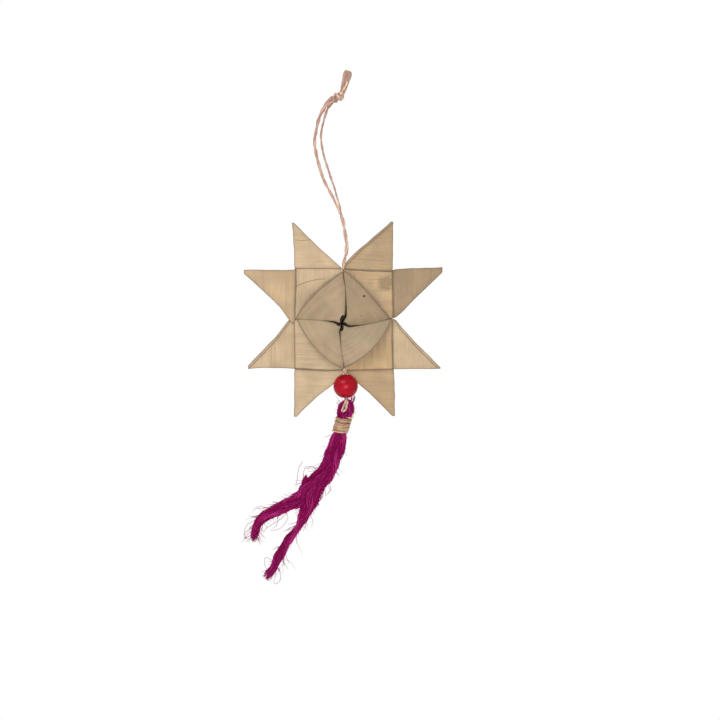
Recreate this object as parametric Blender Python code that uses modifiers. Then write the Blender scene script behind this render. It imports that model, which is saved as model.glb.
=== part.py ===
"""Woven star ornament: four folded palm-leaf strips woven into an eight-pointed star with raised
cones on both faces, a doubled hanging cord with a knot, a bead, and a bound tassel.

Metres, +Z up. The star's front faces -Y. The origin is the eye of the hanging cord, just under its
knot, where a hook or a twig holds the ornament. In the star's own coordinates u runs to the right,
v upwards and depth towards the front, all from the star's centre."""

import math

import bmesh
import bpy
from mathutils import Matrix, Quaternion, Vector

MM = 0.001

# Clearance between pieces that touch on the real ornament.
GAP = 0.3 * MM

# The woven star. A level is one doubled leaf, and there are four from front to back.
STRIP_PITCH = 24.0 * MM
LEAF = 0.6 * MM
CONE_RISE_RATIO = 0.78
CONE_STEPS = 14
TIP_WIDTH = 0.7 * MM

# The notches between the points turn a little round the star, as handwork does.
NOTCH_SHIFT = 0.78 * MM
CORD_SEAT_SHIFT = 0.4 * MM

# The cord: one doubled length of twine.
CORD_DIAMETER = 1.1 * MM
CORD_STEP = 1.6 * MM
TIGHT_CORD_STEP = 0.9 * MM
PAIR_TURNS = 2.25

# The bead.
BEAD_DIAMETER = 12.0 * MM
BEAD_STEPS = 32
BEAD_ARC_STEPS = 13
BORE_ROUNDING = 0.35 * MM

# The tassel: its folded head is a ring round the cord, bound below with twine.
RING_FIBRE_RADIUS = 1.3 * MM
RING_HALF_HEIGHT = 2.6 * MM
RING_BELOW_BEAD = 1.6 * MM
NECK_RADIUS = 2.35 * MM
BINDING_TWINE = 0.95 * MM
BINDING_TURNS = 8
TASSEL_FLATNESS_RATIO = 0.72
TASSEL_STEP = 3.0 * MM

# Routes, in millimetres. Those of the hanging strands are (x, z) from the origin.
LEFT_ROUTE = (
    (3.7, 7.1), (1.6, 4.9), (0.3, 2.9), (-1.2, 0.5), (-2.4, -2.4), (-3.3, -5.9), (-4.2, -10.3),
    (-4.7, -14.7), (-3.9, -19.9), (-2.5, -25.2), (-0.6, -31.8), (2.4, -37.7), (4.6, -41.8),
)
RIGHT_ROUTE = (
    (4.7, 6.1), (2.8, 4.0), (1.6, 2.1), (1.0, 0.1), (0.2, -2.7), (-0.7, -5.9), (-1.5, -10.3),
    (-1.3, -14.7), (-0.3, -20.1), (1.4, -25.7), (3.4, -31.8), (5.2, -37.0), (6.3, -40.9),
)
PAIR_ROUTE = (
    (7.3, -46.2), (8.6, -50.8), (9.9, -56.0), (10.9, -62.0), (11.2, -65.9), (10.5, -70.5),
    (9.6, -73.8), (9.4, -76.6),
)

# The knot and the two frayed ends above it: (x, z, radius) from the origin.
KNOT_ROUTE = (
    (4.95, 7.3, 1.25), (5.7, 7.5, 1.85), (6.9, 7.7, 2.25), (8.3, 8.6, 1.95), (9.1, 10.2, 1.35),
    (9.6, 12.2, 1.4), (10.4, 15.2, 1.7), (11.2, 18.1, 1.85), (11.7, 20.6, 1.6),
)
KNOT_FLATNESS_RATIO = 0.85

# Below the bead: (x, z) or (x, z, radius) from the lowest point of the bead.
BINDING_TOP = (-0.5, -8.7)
BINDING_FOOT = (-2.7, -15.8)
SKIRT_ROUTE = (
    (-2.85, -16.4, 3.3), (-3.4, -18.2, 3.8), (-4.2, -25.6, 4.3), (-7.3, -34.3, 4.0),
    (-12.9, -41.4, 4.5), (-17.6, -46.6, 5.4), (-20.6, -50.2, 4.2),
)
LEFT_TAIL_ROUTE = (
    (-19.5, -48.3, 3.0), (-27.2, -50.8, 2.6), (-32.3, -53.1, 3.3), (-39.0, -55.7, 3.0),
    (-43.1, -60.3, 3.0), (-44.1, -64.8, 2.0), (-44.6, -69.6, 1.1),
)
RIGHT_TAIL_ROUTE = (
    (-16.9, -48.4, 3.6), (-19.1, -54.2, 2.7), (-21.6, -59.8, 2.0), (-24.1, -62.8, 1.8),
    (-28.8, -67.9, 2.2), (-31.3, -71.5, 1.8), (-32.9, -76.0, 2.8), (-34.9, -81.2, 2.9),
    (-37.4, -85.2, 2.4), (-38.3, -87.6, 1.5),
)

# Derived places.
HALF_LEAF = LEAF / 2
LEVEL_STEP = LEAF + GAP
STRIP_INNER = HALF_LEAF + GAP
STRIP_OUTER = STRIP_PITCH - LEAF - GAP
CORD_RADIUS = CORD_DIAMETER / 2
TWIST_RADIUS = (CORD_DIAMETER + GAP) / 2
BEAD_RADIUS = BEAD_DIAMETER / 2
BORE_RADIUS = TWIST_RADIUS + CORD_RADIUS + GAP
RING_HALF_WIDTH = BORE_RADIUS + RING_FIBRE_RADIUS + GAP / 2
TOP_NOTCH = Vector((PAIR_ROUTE[-1][0] * MM, 0.0, PAIR_ROUTE[-1][1] * MM))
STAR_CENTRE = TOP_NOTCH + Vector((CORD_SEAT_SHIFT, 0.0, -(STRIP_PITCH + GAP)))


def level(number):
    """Depth of the middle of a leaf level, 1 at the front to 4 at the back."""
    return (2.5 - number) * LEVEL_STEP


def point_tip():
    """(u, v) of the outer side of a flat point at its top."""
    return STRIP_PITCH - GAP / math.sqrt(2), 2 * STRIP_PITCH


def bead_centre():
    """The bead hangs in the lower notch, clear of the sloping edges of the two points beside it."""
    run = point_tip()[0] - TIP_WIDTH - NOTCH_SHIFT
    steepest = math.atan2(STRIP_PITCH, run)
    drop = (BEAD_RADIUS + GAP) / math.cos(steepest)
    return STAR_CENTRE + Vector((NOTCH_SHIFT, 0.0, -STRIP_PITCH - drop))


def binding_ends():
    """The middle of the binding's upper and lower ends."""
    foot = bead_centre() - Vector((0.0, 0.0, BEAD_RADIUS))
    return [foot + Vector((x * MM, 0.0, z * MM)) for x, z in (BINDING_TOP, BINDING_FOOT)]


def new_collection(name):
    collection = bpy.data.collections.new(name)
    bpy.context.scene.collection.children.link(collection)
    return collection


def new_material(name, colour, roughness):
    material = bpy.data.materials.new(name)
    material.use_nodes = True
    shader = material.node_tree.nodes["Principled BSDF"]
    shader.inputs["Base Color"].default_value = (*colour, 1.0)
    shader.inputs["Roughness"].default_value = roughness
    shader.inputs["Metallic"].default_value = 0.0
    material.diffuse_color = (*colour, 1.0)
    return material


def link(obj, collection):
    collection.objects.link(obj)
    return obj


def guide(obj):
    """Marks a construction object, which isn't part of the ornament."""
    obj.hide_render = True
    obj.display_type = "WIRE"
    return obj


def face_outwards(shape):
    bmesh.ops.recalc_face_normals(shape, faces=shape.faces)
    if shape.calc_volume(signed=True) < 0:
        bmesh.ops.reverse_faces(shape, faces=shape.faces)


def evaluated_mesh(obj):
    """The object's mesh with its modifiers applied, in world space, its caps welded."""
    bpy.context.view_layer.update()
    graph = bpy.context.evaluated_depsgraph_get()
    mesh = bpy.data.meshes.new_from_object(obj.evaluated_get(graph))
    mesh.transform(obj.matrix_world)
    shape = bmesh.new()
    shape.from_mesh(mesh)
    bmesh.ops.remove_doubles(shape, verts=shape.verts, dist=1e-6)
    face_outwards(shape)
    shape.to_mesh(mesh)
    shape.free()
    return mesh


def as_mesh(obj, name, collection):
    """Replaces a curve object by the mesh that it draws."""
    mesh = evaluated_mesh(obj)
    mesh.name = name
    bpy.data.objects.remove(obj)
    return guide(link(bpy.data.objects.new(name, mesh), collection))


def joined(name, first, others):
    """One body from overlapping ones, by Boolean unions."""
    for other in others:
        union = first.modifiers.new(other.name, "BOOLEAN")
        union.operation = "UNION"
        union.solver = "EXACT"
        union.object = other
    mesh = evaluated_mesh(first)
    mesh.name = name
    return mesh


def outline_prism(name, loops, thickness, matrix, collection):
    """A flat outline, with any holes in it, given a thickness and set in place."""
    curve = bpy.data.curves.new(name, "CURVE")
    curve.dimensions = "2D"
    curve.fill_mode = "BOTH"
    curve.extrude = thickness / 2
    for loop in loops:
        spline = curve.splines.new("POLY")
        spline.points.add(len(loop) - 1)
        for point, (x, y) in zip(spline.points, loop):
            point.co = (x, y, 0.0, 1.0)
        spline.use_cyclic_u = True
    obj = link(bpy.data.objects.new(name, curve), collection)
    obj.matrix_world = matrix
    return as_mesh(obj, name, collection)


def smooth_route(points, step):
    """Points a step apart along a smooth curve through the given ones. Each may carry a radius."""
    size = len(points[0])
    ends = [
        [2 * a - b for a, b in zip(points[0], points[1])],
        [2 * a - b for a, b in zip(points[-1], points[-2])],
    ]
    guides = [ends[0], *points, ends[1]]
    fine = []
    parts = 16
    for i in range(1, len(guides) - 2):
        before, start, stop, after = guides[i - 1 : i + 3]
        for j in range(parts):
            t = j / parts
            weights = (
                (-t + 2 * t**2 - t**3) / 2,
                (2 - 5 * t**2 + 3 * t**3) / 2,
                (t + 4 * t**2 - 3 * t**3) / 2,
                (-(t**2) + t**3) / 2,
            )
            around = (before, start, stop, after)
            fine.append([sum(w * p[k] for w, p in zip(weights, around)) for k in range(size)])
    fine.append(list(points[-1]))
    lengths = [0.0]
    for a, b in zip(fine, fine[1:]):
        lengths.append(lengths[-1] + math.dist(a[:3], b[:3]))
    count = max(2, round(lengths[-1] / step))
    route = []
    at = 0
    for i in range(count + 1):
        wanted = lengths[-1] * i / count
        while at < len(lengths) - 2 and lengths[at + 1] < wanted:
            at += 1
        share = (wanted - lengths[at]) / (lengths[at + 1] - lengths[at])
        route.append([a + (b - a) * share for a, b in zip(fine[at], fine[at + 1])])
    return route


def tube(name, route, radius, sides_setting, collection):
    """A round tube along (x, y, z) points, or along (x, y, z, radius) points if radius is 1."""
    curve = bpy.data.curves.new(name, "CURVE")
    curve.dimensions = "3D"
    curve.bevel_depth = radius
    curve.bevel_resolution = sides_setting
    curve.use_fill_caps = True
    spline = curve.splines.new("POLY")
    spline.points.add(len(route) - 1)
    for point, values in zip(spline.points, route):
        point.co = (*values[:3], 1.0)
        point.radius = values[3] if len(values) > 3 else 1.0
    return link(bpy.data.objects.new(name, curve), collection)


def in_metres(route, start=Vector((0.0, 0.0, 0.0))):
    """A route's (x, z) or (x, z, radius) rows as points in the plane of the star."""
    return [
        [start.x + row[0] * MM, start.y, start.z + row[1] * MM, *(r * MM for r in row[2:])]
        for row in route
    ]


def strip_bands(collection):
    """A strip passes over and under two crossing strips: two loops side by side in section.

    The section is drawn in (v, depth) and given the strip's width along u."""
    front = [level(n) + HALF_LEAF for n in range(5)]
    back = [level(n) - HALF_LEAF for n in range(5)]
    outside = [
        (-STRIP_PITCH, front[1]), (HALF_LEAF, front[1]), (HALF_LEAF, front[2]),
        (STRIP_PITCH, front[2]), (STRIP_PITCH, back[4]), (-HALF_LEAF, back[4]),
        (-HALF_LEAF, back[3]), (-STRIP_PITCH, back[3]),
    ]
    fold = STRIP_PITCH - LEAF
    upper = [(HALF_LEAF, back[2]), (fold, back[2]), (fold, front[4]), (HALF_LEAF, front[4])]
    lower = [(-HALF_LEAF, back[1]), (-fold, back[1]), (-fold, front[3]), (-HALF_LEAF, front[3])]
    middle = (STRIP_INNER + STRIP_OUTER) / 2
    matrix = Matrix(((0, 0, 1, middle), (0, -1, 0, 0), (1, 0, 0, 0), (0, 0, 0, 1)))
    width = STRIP_OUTER - STRIP_INNER
    return outline_prism("bands", [outside, upper, lower], width, matrix, collection)


def flat_point(name, number, upward, notch, slot, collection):
    """A right-angled point of turned leaf, rooted in the fold at the strip's upper or lower end.

    notch is where its sloping edge meets the notch beside it, and slot where it is cut back so
    that the cord can pass."""
    side, top = point_tip()
    root = STRIP_PITCH - HALF_LEAF
    slope = (top - STRIP_PITCH) / (side - TIP_WIDTH - notch)
    outline = [
        (slot, root), (STRIP_OUTER - TIP_WIDTH / 3, root), (side, STRIP_PITCH + GAP / 3),
        (side, top), (side - TIP_WIDTH, top), (slot, STRIP_PITCH + (slot - notch) * slope),
    ]
    outline = [(u, v * upward) for u, v in outline]
    matrix = Matrix(((1, 0, 0, 0), (0, 0, -1, -level(number)), (0, 1, 0, 0), (0, 0, 0, 1)))
    return outline_prism(name, [outline], 2 * LEAF, matrix, collection)


def cone_angles():
    """Half-angle and dip of the round cone that a flat strip makes when it is turned a right angle.

    The strip stands up, turns about its inner edge at the cone's tip and comes down at a right
    angle to its start. What is bent keeps its flat angle, which settles the half-angle."""
    flat_angle = 2 * math.atan(CONE_RISE_RATIO)
    open_angle = math.acos(CONE_RISE_RATIO**2 / (1 + CONE_RISE_RATIO**2))
    bisector_dip = math.atan(math.sqrt(2) * CONE_RISE_RATIO)

    def excess(lean):
        half = math.acos(math.cos(lean) * math.cos(open_angle / 2))
        turn = math.acos((math.cos(open_angle) - math.cos(half) ** 2) / math.sin(half) ** 2)
        return turn * math.sin(half) - flat_angle

    low, high = 0.01, 1.2
    for _ in range(60):
        lean = (low + high) / 2
        if (excess(low) < 0) == (excess(lean) < 0):
            low = lean
        else:
            high = lean
    half = math.acos(math.cos(lean) * math.cos(open_angle / 2))
    turn = math.acos((math.cos(open_angle) - math.cos(half) ** 2) / math.sin(half) ** 2)
    return half, turn, bisector_dip + lean


def cone_shell(collection):
    """The front cone of a strip: two upright walls and, between them, a part of a round cone.

    Its rows of points are its rim, outside and inside, and each side is a fan from its own tip."""
    half, turn, axis_dip = cone_angles()
    wall_offset = GAP / 6
    corner = Vector((STRIP_INNER + wall_offset, -wall_offset, level(1) + HALF_LEAF))
    reach = STRIP_OUTER - wall_offset - corner.x
    tip = corner + Vector((0, 0, CONE_RISE_RATIO * reach))
    sideways = Vector((1, -1, 0)).normalized()
    down = Vector((0, 0, -1))
    axis = sideways * math.cos(axis_dip) + down * math.sin(axis_dip)
    middle = sideways * math.cos(axis_dip - half) + down * math.sin(axis_dip - half)
    sunk = Vector((0, 0, -HALF_LEAF))
    along_u = Vector((reach, 0, 0))
    along_v = Vector((0, -reach, 0))
    inward_u = Vector((LEAF, 0, 0))
    inward_v = Vector((0, -LEAF, 0))
    outer = [corner + sunk, corner + along_u + sunk]
    inner = [corner + sunk + inward_u + inward_v, corner + along_u + inward_v + sunk]
    for i in range(CONE_STEPS + 1):
        angle = turn * (i / CONE_STEPS - 0.5)
        ray = Quaternion(axis, angle) @ middle
        length = reach / math.cos(angle * math.sin(half))
        edge = tip + ray * length
        normal = (ray * math.cos(half) - axis).normalized()
        outer.append(edge)
        inner.append(edge - normal * LEAF)
    outer += [corner + along_v + sunk]
    inner += [corner + along_v + inward_u + sunk]
    inner[2] = corner + along_u + inward_v
    inner[-2] = corner + along_v + inward_u
    drop = LEAF * (1 + 2 * math.sin(axis_dip - half) / math.sqrt(2)) / math.cos(axis_dip - half)
    inner_tip = tip + inward_u + inward_v - Vector((0, 0, drop))
    shape = bmesh.new()
    rows = []
    for ring, top in ((outer, tip), (inner, inner_tip)):
        verts = [shape.verts.new((p.x, -p.z, p.y)) for p in ring]
        rows.append((verts, shape.verts.new((top.x, -top.z, top.y))))
    count = len(outer)
    for i in range(count):
        j = (i + 1) % count
        shape.faces.new((rows[0][0][i], rows[0][0][j], rows[0][1]))
        shape.faces.new((rows[1][0][j], rows[1][0][i], rows[1][1]))
        shape.faces.new((rows[0][0][j], rows[0][0][i], rows[1][0][i], rows[1][0][j]))
    face_outwards(shape)
    mesh = bpy.data.meshes.new("front_cone")
    shape.to_mesh(mesh)
    shape.free()
    return guide(link(bpy.data.objects.new("front_cone", mesh), collection))


def make_strips(parts, helpers, material):
    """One strip with its two flat points and two cones, and three more at quarter turns."""
    slot = CORD_RADIUS + GAP
    bands = strip_bands(helpers)
    pieces = [
        flat_point("upper_point", 2, 1, -NOTCH_SHIFT, slot - CORD_SEAT_SHIFT, helpers),
        flat_point("lower_point", 3, -1, NOTCH_SHIFT, slot + CORD_SEAT_SHIFT, helpers),
        cone_shell(helpers),
    ]
    back_cone = link(bpy.data.objects.new("back_cone", pieces[-1].data.copy()), helpers)
    back_cone.data.transform(Matrix.Rotation(math.pi, 4, "X"))
    pieces.append(guide(back_cone))
    mesh = joined("leaf_strip", bands, pieces)
    mesh.materials.clear()
    mesh.materials.append(material)
    for number in range(4):
        strip = link(bpy.data.objects.new(f"leaf_strip_{number + 1}", mesh), parts)
        strip.location = STAR_CENTRE
        strip.rotation_euler = (0.0, -number * math.pi / 2, 0.0)


def pair_strand(phase):
    """One strand's points where the two hanging strands are twisted, down to the upper notch."""
    axis = smooth_route(in_metres(PAIR_ROUTE), CORD_STEP)
    strand = []
    for i, here in enumerate(axis):
        before = axis[max(i - 1, 0)]
        after = axis[min(i + 1, len(axis) - 1)]
        across = Vector((before[2] - after[2], 0.0, after[0] - before[0])).normalized()
        angle = phase + 2 * math.pi * PAIR_TURNS * i / (len(axis) - 1)
        offset = across * math.cos(angle) + Vector((0, -1, 0)) * math.sin(angle)
        strand.append(list(Vector(here) + offset * TWIST_RADIUS))
    return strand


def make_hanging_cord(parts, material):
    """Two strands from the knot, apart at first and then twisted, down into the upper notch."""
    for name, route, phase in (
        ("hanging_cord_left", LEFT_ROUTE, math.pi),
        ("hanging_cord_right", RIGHT_ROUTE, 0.0),
    ):
        points = in_metres(route) + pair_strand(phase)
        strand = tube(name, smooth_route(points, CORD_STEP), CORD_RADIUS, 2, parts)
        strand.data.materials.append(material)


def make_knot(parts, helpers, material):
    """The overhand knot, with a turn of cord standing round it, and the frayed ends above."""
    route = smooth_route(in_metres(KNOT_ROUTE), CORD_STEP)
    body = tube("knot_body", route, 1.0, 3, helpers)
    body.scale = (1.0, KNOT_FLATNESS_RATIO, 1.0)
    body = as_mesh(body, "knot_body", helpers)
    start, middle, end = (Vector(row[:3]) for row in in_metres(KNOT_ROUTE)[1:4])
    bpy.ops.mesh.primitive_torus_add(
        location=middle, rotation=(end - start).to_track_quat("Z", "Y").to_euler(),
        major_segments=20, minor_segments=8,
        major_radius=KNOT_ROUTE[2][2] * MM - CORD_RADIUS / 2, minor_radius=CORD_RADIUS,
    )
    collar = as_mesh(bpy.context.object, "knot_turn", helpers)
    mesh = joined("cord_knot", body, [collar])
    knot = link(bpy.data.objects.new("cord_knot", mesh), parts)
    knot.data.materials.clear()
    knot.data.materials.append(material)


def make_bead(parts, material):
    """A turned ball with a bore, from a closed profile that runs down its outer side."""
    profile = []
    start = math.asin((BORE_RADIUS + BORE_ROUNDING) / BEAD_RADIUS)
    for i in range(BEAD_ARC_STEPS + 1):
        angle = start + (math.pi - 2 * start) * i / BEAD_ARC_STEPS
        profile.append((BEAD_RADIUS * math.sin(angle), BEAD_RADIUS * math.cos(angle)))
    end = BEAD_RADIUS * math.cos(start) - BORE_ROUNDING
    profile += [(BORE_RADIUS, -end), (BORE_RADIUS, end)]
    bead = turned("bead", profile, BEAD_STEPS, parts)
    bead.location = bead_centre()
    bead.data.materials.append(material)


def turned(name, profile, steps, collection):
    """A closed profile of (radius, z) points, turned about Z."""
    shape = bmesh.new()
    verts = [shape.verts.new((x, 0.0, z)) for x, z in profile]
    for a, b in zip(verts, verts[1:] + verts[:1]):
        shape.edges.new((a, b))
    mesh = bpy.data.meshes.new(name)
    shape.to_mesh(mesh)
    shape.free()
    obj = link(bpy.data.objects.new(name, mesh), collection)
    screw = obj.modifiers.new("turn", "SCREW")
    screw.steps = steps
    screw.render_steps = steps
    screw.use_merge_vertices = True
    screw.merge_threshold = 1e-6
    screw.use_smooth_shade = True
    return obj


def make_bead_cord(parts, material):
    """The cord's bight: from the lower notch through the bead, in front of the tassel's folded
    head, through its eye, up behind it, and back the same way beside itself."""
    bead = bead_centre()
    foot = bead.z - BEAD_RADIUS
    arc = foot - RING_BELOW_BEAD - RING_FIBRE_RADIUS
    wrap = RING_FIBRE_RADIUS + 1.5 * GAP + CORD_RADIUS
    notch = STAR_CENTRE + Vector((CORD_SEAT_SHIFT, 0.0, -(STRIP_PITCH + GAP)))
    top_of_bore = bead.z + BEAD_RADIUS
    strand = [(notch.x, -TWIST_RADIUS, notch.z)]
    quarter_steps = 6
    for i in range(quarter_steps + 1):
        share = i / quarter_steps
        angle = share * math.pi / 2
        strand.append((
            bead.x - TWIST_RADIUS * math.sin(angle),
            -TWIST_RADIUS * math.cos(angle),
            top_of_bore + (foot - top_of_bore) * share,
        ))
    spread = TWIST_RADIUS + CORD_RADIUS / 2
    for side, dip in ((spread, 40), (spread, 0), (TWIST_RADIUS, -45), (TWIST_RADIUS, -90)):
        angle = math.radians(dip)
        strand.append((bead.x - side, -wrap * math.cos(angle), arc + wrap * math.sin(angle)))
    for side, dip in ((TWIST_RADIUS, -135), (spread, 180)):
        angle = math.radians(dip)
        strand.append((bead.x - side, -wrap * math.cos(angle), arc + wrap * math.sin(angle)))
    bend_steps = 4
    bight = []
    for i in range(1, bend_steps):
        angle = math.pi * i / bend_steps
        bight.append((
            bead.x - spread * math.cos(angle),
            wrap,
            arc + spread * math.sin(angle),
        ))
    other = []
    for x, y, z in reversed(strand):
        inside_bead = z > foot - GAP
        other.append((2 * bead.x - x, -y if inside_bead else y, z))
    other[-1] = (notch.x, TWIST_RADIUS, notch.z)
    route = smooth_route([list(p) for p in strand + bight + other], TIGHT_CORD_STEP)
    cord = tube("bead_cord", route, CORD_RADIUS, 2, parts)
    cord.data.materials.append(material)


def make_tassel(parts, helpers, material):
    """Folded fibre: a ring at the top, a bound neck, and a skirt that parts into two tails."""
    foot = bead_centre() - Vector((0.0, 0.0, BEAD_RADIUS))
    neck_top, neck_foot = binding_ends()
    neck_end = (neck_top - neck_foot).normalized() * 2 * GAP
    neck = [[*neck_top + neck_end, NECK_RADIUS], [*neck_foot - 2 * neck_end, NECK_RADIUS]]
    ring_middle = foot.z - RING_BELOW_BEAD - RING_FIBRE_RADIUS - RING_HALF_HEIGHT
    leg = NECK_RADIUS - RING_FIBRE_RADIUS - GAP
    past_top = math.radians(100)
    quarter_steps = 6
    halves = []
    for side in (-1, 1):
        half = [[neck_top.x + side * leg, 0.0, neck_top.z, RING_FIBRE_RADIUS]]
        for i in range(quarter_steps + 1):
            angle = past_top * i / quarter_steps
            x = foot.x + side * RING_HALF_WIDTH * math.cos(angle)
            z = ring_middle + RING_HALF_HEIGHT * math.sin(angle)
            half.append([x, 0.0, z, RING_FIBRE_RADIUS])
        halves.append(smooth_route(half, TASSEL_STEP / 2))
    lengths = (
        ("tassel_neck", neck), ("ring_left", halves[0]), ("ring_right", halves[1]),
        ("skirt", smooth_route(in_metres(SKIRT_ROUTE, foot), TASSEL_STEP)),
        ("left_tail", smooth_route(in_metres(LEFT_TAIL_ROUTE, foot), TASSEL_STEP)),
        ("right_tail", smooth_route(in_metres(RIGHT_TAIL_ROUTE, foot), TASSEL_STEP)),
    )
    pieces = []
    for name, route in lengths:
        piece = tube(name, route, 1.0, 4, helpers)
        if name.endswith("tail"):
            piece.scale = (1.0, TASSEL_FLATNESS_RATIO, 1.0)
        pieces.append(as_mesh(piece, name, helpers))
    mesh = joined("tassel", pieces[0], pieces[1:])
    link(bpy.data.objects.new("tassel", mesh), parts)
    mesh.materials.clear()
    mesh.materials.append(material)


def make_binding(parts, material):
    """Turns of fine twine round the tassel's neck, as one ribbed sleeve."""
    top, bottom = binding_ends()
    length = (top - bottom).length
    pitch = length / BINDING_TURNS
    inside = NECK_RADIUS + GAP
    groove = inside + 0.6 * BINDING_TWINE
    crest = inside + BINDING_TWINE
    profile = [(inside, length / 2)]
    for turn in range(BINDING_TURNS):
        z = length / 2 - turn * pitch
        profile += [(groove, z), (crest, z - 0.3 * pitch), (crest, z - 0.7 * pitch)]
    profile += [(groove, -length / 2), (inside, -length / 2)]
    binding = turned("tassel_binding", profile, 24, parts)
    binding.location = (top + bottom) / 2
    binding.rotation_euler = (top - bottom).to_track_quat("Z", "Y").to_euler()
    binding.data.materials.append(material)


def build():
    for obj in list(bpy.data.objects):
        bpy.data.objects.remove(obj)
    parts = new_collection("woven_star_ornament")
    helpers = new_collection("construction")
    leaf = new_material("palm_leaf", (0.58, 0.48, 0.30), 0.6)
    twine = new_material("natural_twine", (0.60, 0.42, 0.30), 0.9)
    paint = new_material("red_paint", (0.55, 0.01, 0.03), 0.25)
    fibre = new_material("dyed_fibre", (0.25, 0.01, 0.13), 0.85)
    make_strips(parts, helpers, leaf)
    make_hanging_cord(parts, twine)
    make_knot(parts, helpers, twine)
    make_bead(parts, paint)
    make_bead_cord(parts, twine)
    make_tassel(parts, helpers, fibre)
    make_binding(parts, twine)


build()
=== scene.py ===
import math

import bpy
import numpy as np
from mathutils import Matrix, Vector


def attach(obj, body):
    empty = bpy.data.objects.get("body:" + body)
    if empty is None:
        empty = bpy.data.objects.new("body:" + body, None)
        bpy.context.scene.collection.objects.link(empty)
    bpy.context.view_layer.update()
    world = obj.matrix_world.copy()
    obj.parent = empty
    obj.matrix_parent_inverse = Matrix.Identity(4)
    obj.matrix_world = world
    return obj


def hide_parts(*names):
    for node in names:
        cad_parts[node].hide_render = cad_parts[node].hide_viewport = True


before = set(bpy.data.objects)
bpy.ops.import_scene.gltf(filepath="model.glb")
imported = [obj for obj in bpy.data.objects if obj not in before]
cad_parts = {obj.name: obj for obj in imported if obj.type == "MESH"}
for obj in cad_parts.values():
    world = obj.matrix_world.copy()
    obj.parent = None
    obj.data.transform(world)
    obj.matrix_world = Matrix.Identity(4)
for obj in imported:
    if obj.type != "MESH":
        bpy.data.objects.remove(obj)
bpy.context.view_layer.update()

# Lengths below are in millimetres unless a name says otherwise. The star's own coordinates are
# (u to the right, v upwards, depth towards the front) from its centre, and its front faces -Y.
MM = 0.001
STAR_CENTRE = np.array([9.8, 0.0, -100.9])
BEAD_CENTRE = np.array([10.6, 0.0, -133.75])
BEAD_RADIUS = 6.0
BEAD_FOOT = BEAD_CENTRE - np.array([0.0, 0.0, BEAD_RADIUS])

# The woven square's half width, the step from one leaf level to the next and the front face.
PITCH = 24.0
LEVEL_STEP = 0.9
PLATE_FRONT = 1.65
CONE_CORNER = np.array([0.65, -0.05, PLATE_FRONT])
CONE_REACH = 22.4
# How far a cone rises for each millimetre of its reach.
CONE_SLOPE = 0.78
CONE_RISE = CONE_SLOPE * CONE_REACH
# How far the notches between the points lie beside the star's axes.
NOTCH_SHIFT = 0.78
LOWER_NOTCH = STAR_CENTRE + np.array([0.4, 0.0, -24.3])

PLY_PITCH = 10.5
STRAND_STEP = 0.5

# The cords' routes, (x, z) from the eye of the cord, in metres.
LEFT_ROUTE = (
    (0.0037, 0.0071), (0.0016, 0.0049), (0.0003, 0.0029), (-0.0012, 0.0005), (-0.0024, -0.0024),
    (-0.0033, -0.0059), (-0.0042, -0.0103), (-0.0047, -0.0147), (-0.0039, -0.0199),
    (-0.0025, -0.0252), (-0.0006, -0.0318), (0.0024, -0.0377), (0.0046, -0.0418),
)
RIGHT_ROUTE = (
    (0.0047, 0.0061), (0.0028, 0.0040), (0.0016, 0.0021), (0.0010, 0.0001), (0.0002, -0.0027),
    (-0.0007, -0.0059), (-0.0015, -0.0103), (-0.0013, -0.0147), (-0.0003, -0.0201),
    (0.0014, -0.0257), (0.0034, -0.0318), (0.0052, -0.0370), (0.0063, -0.0409),
)
PAIR_ROUTE = (
    (0.0073, -0.0462), (0.0086, -0.0508), (0.0099, -0.0560), (0.0109, -0.0620),
    (0.0112, -0.0659), (0.0105, -0.0705), (0.0096, -0.0738), (0.0094, -0.0766),
)
# The twine's thickness at these lengths from the knot, as shares of its first one.
SWELL_PLACES = (0, 38, 50, 82, 90, 200)
SWELLS = (1.0, 1.0, 0.84, 0.84, 0.62, 0.62)
# The twisted pair: its turns, and each strand's distance from its middle, in metres.
PAIR_TURNS = 2.25
TWIST_RADIUS = 0.00055
# The bead's cord, (x, depth, z over the bead's foot): down in front, once round behind the
# tassel's head, and up again.
BEAD_CORD_ROUTE = (
    (10.50, -0.70, 11.8), (10.15, -0.62, 9.0), (9.95, -0.35, 5.0), (9.95, -0.1, 1.5),
    (10.35, -0.6, -0.2), (10.7, -1.7, -1.6), (10.0, -2.35, -3.0), (9.2, -2.3, -4.7),
    (8.8, -1.5, -6.3), (8.9, 0.6, -6.1), (9.3, 2.1, -4.8), (9.9, 2.4, -3.0), (10.7, 2.35, -2.1),
    (11.5, 2.4, -3.1), (10.7, 2.1, -4.9), (9.8, 0.6, -6.4), (9.6, -1.5, -6.3),
    (10.7, -2.3, -5.1), (11.15, -2.35, -3.4), (11.45, -1.7, -1.7), (11.45, -0.6, -0.2),
    (11.2, 0.1, 1.5), (11.2, 0.35, 5.0), (11.0, 0.62, 9.0), (10.65, 0.70, 11.8),
)
KNOT_AXIS = ((4.0, 0.0, 6.2), (5.0, 0.0, 7.0), (6.6, 0.0, 7.5), (8.1, 0.0, 8.5), (9.0, 0.0, 9.8))
# The knot's turns: how many, the share of the axis where they start, angle and tone.
KNOT_TURNS = ((2.3, 0.02, 0.4, 0.14), (2.3, 0.12, 2.5, 0.24), (1.4, 0.30, 4.4, 0.56))
# The frayed ends, (x, z, radius), and the single yarn that crosses in front of them.
FRAYED_ROUTE = (
    (7.9, 8.4, 0.9), (8.9, 9.9, 1.1), (9.6, 12.0, 1.4), (10.5, 15.2, 1.75), (11.3, 18.1, 2.05),
    (11.8, 20.2, 1.9), (12.0, 21.0, 1.5),
)
CROSSING_ROUTE = (
    (7.9, -1.5, 8.6), (8.9, -1.5, 10.2), (10.0, -1.35, 12.0), (10.9, -1.35, 13.6),
    (11.4, -1.1, 15.4),
)

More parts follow.
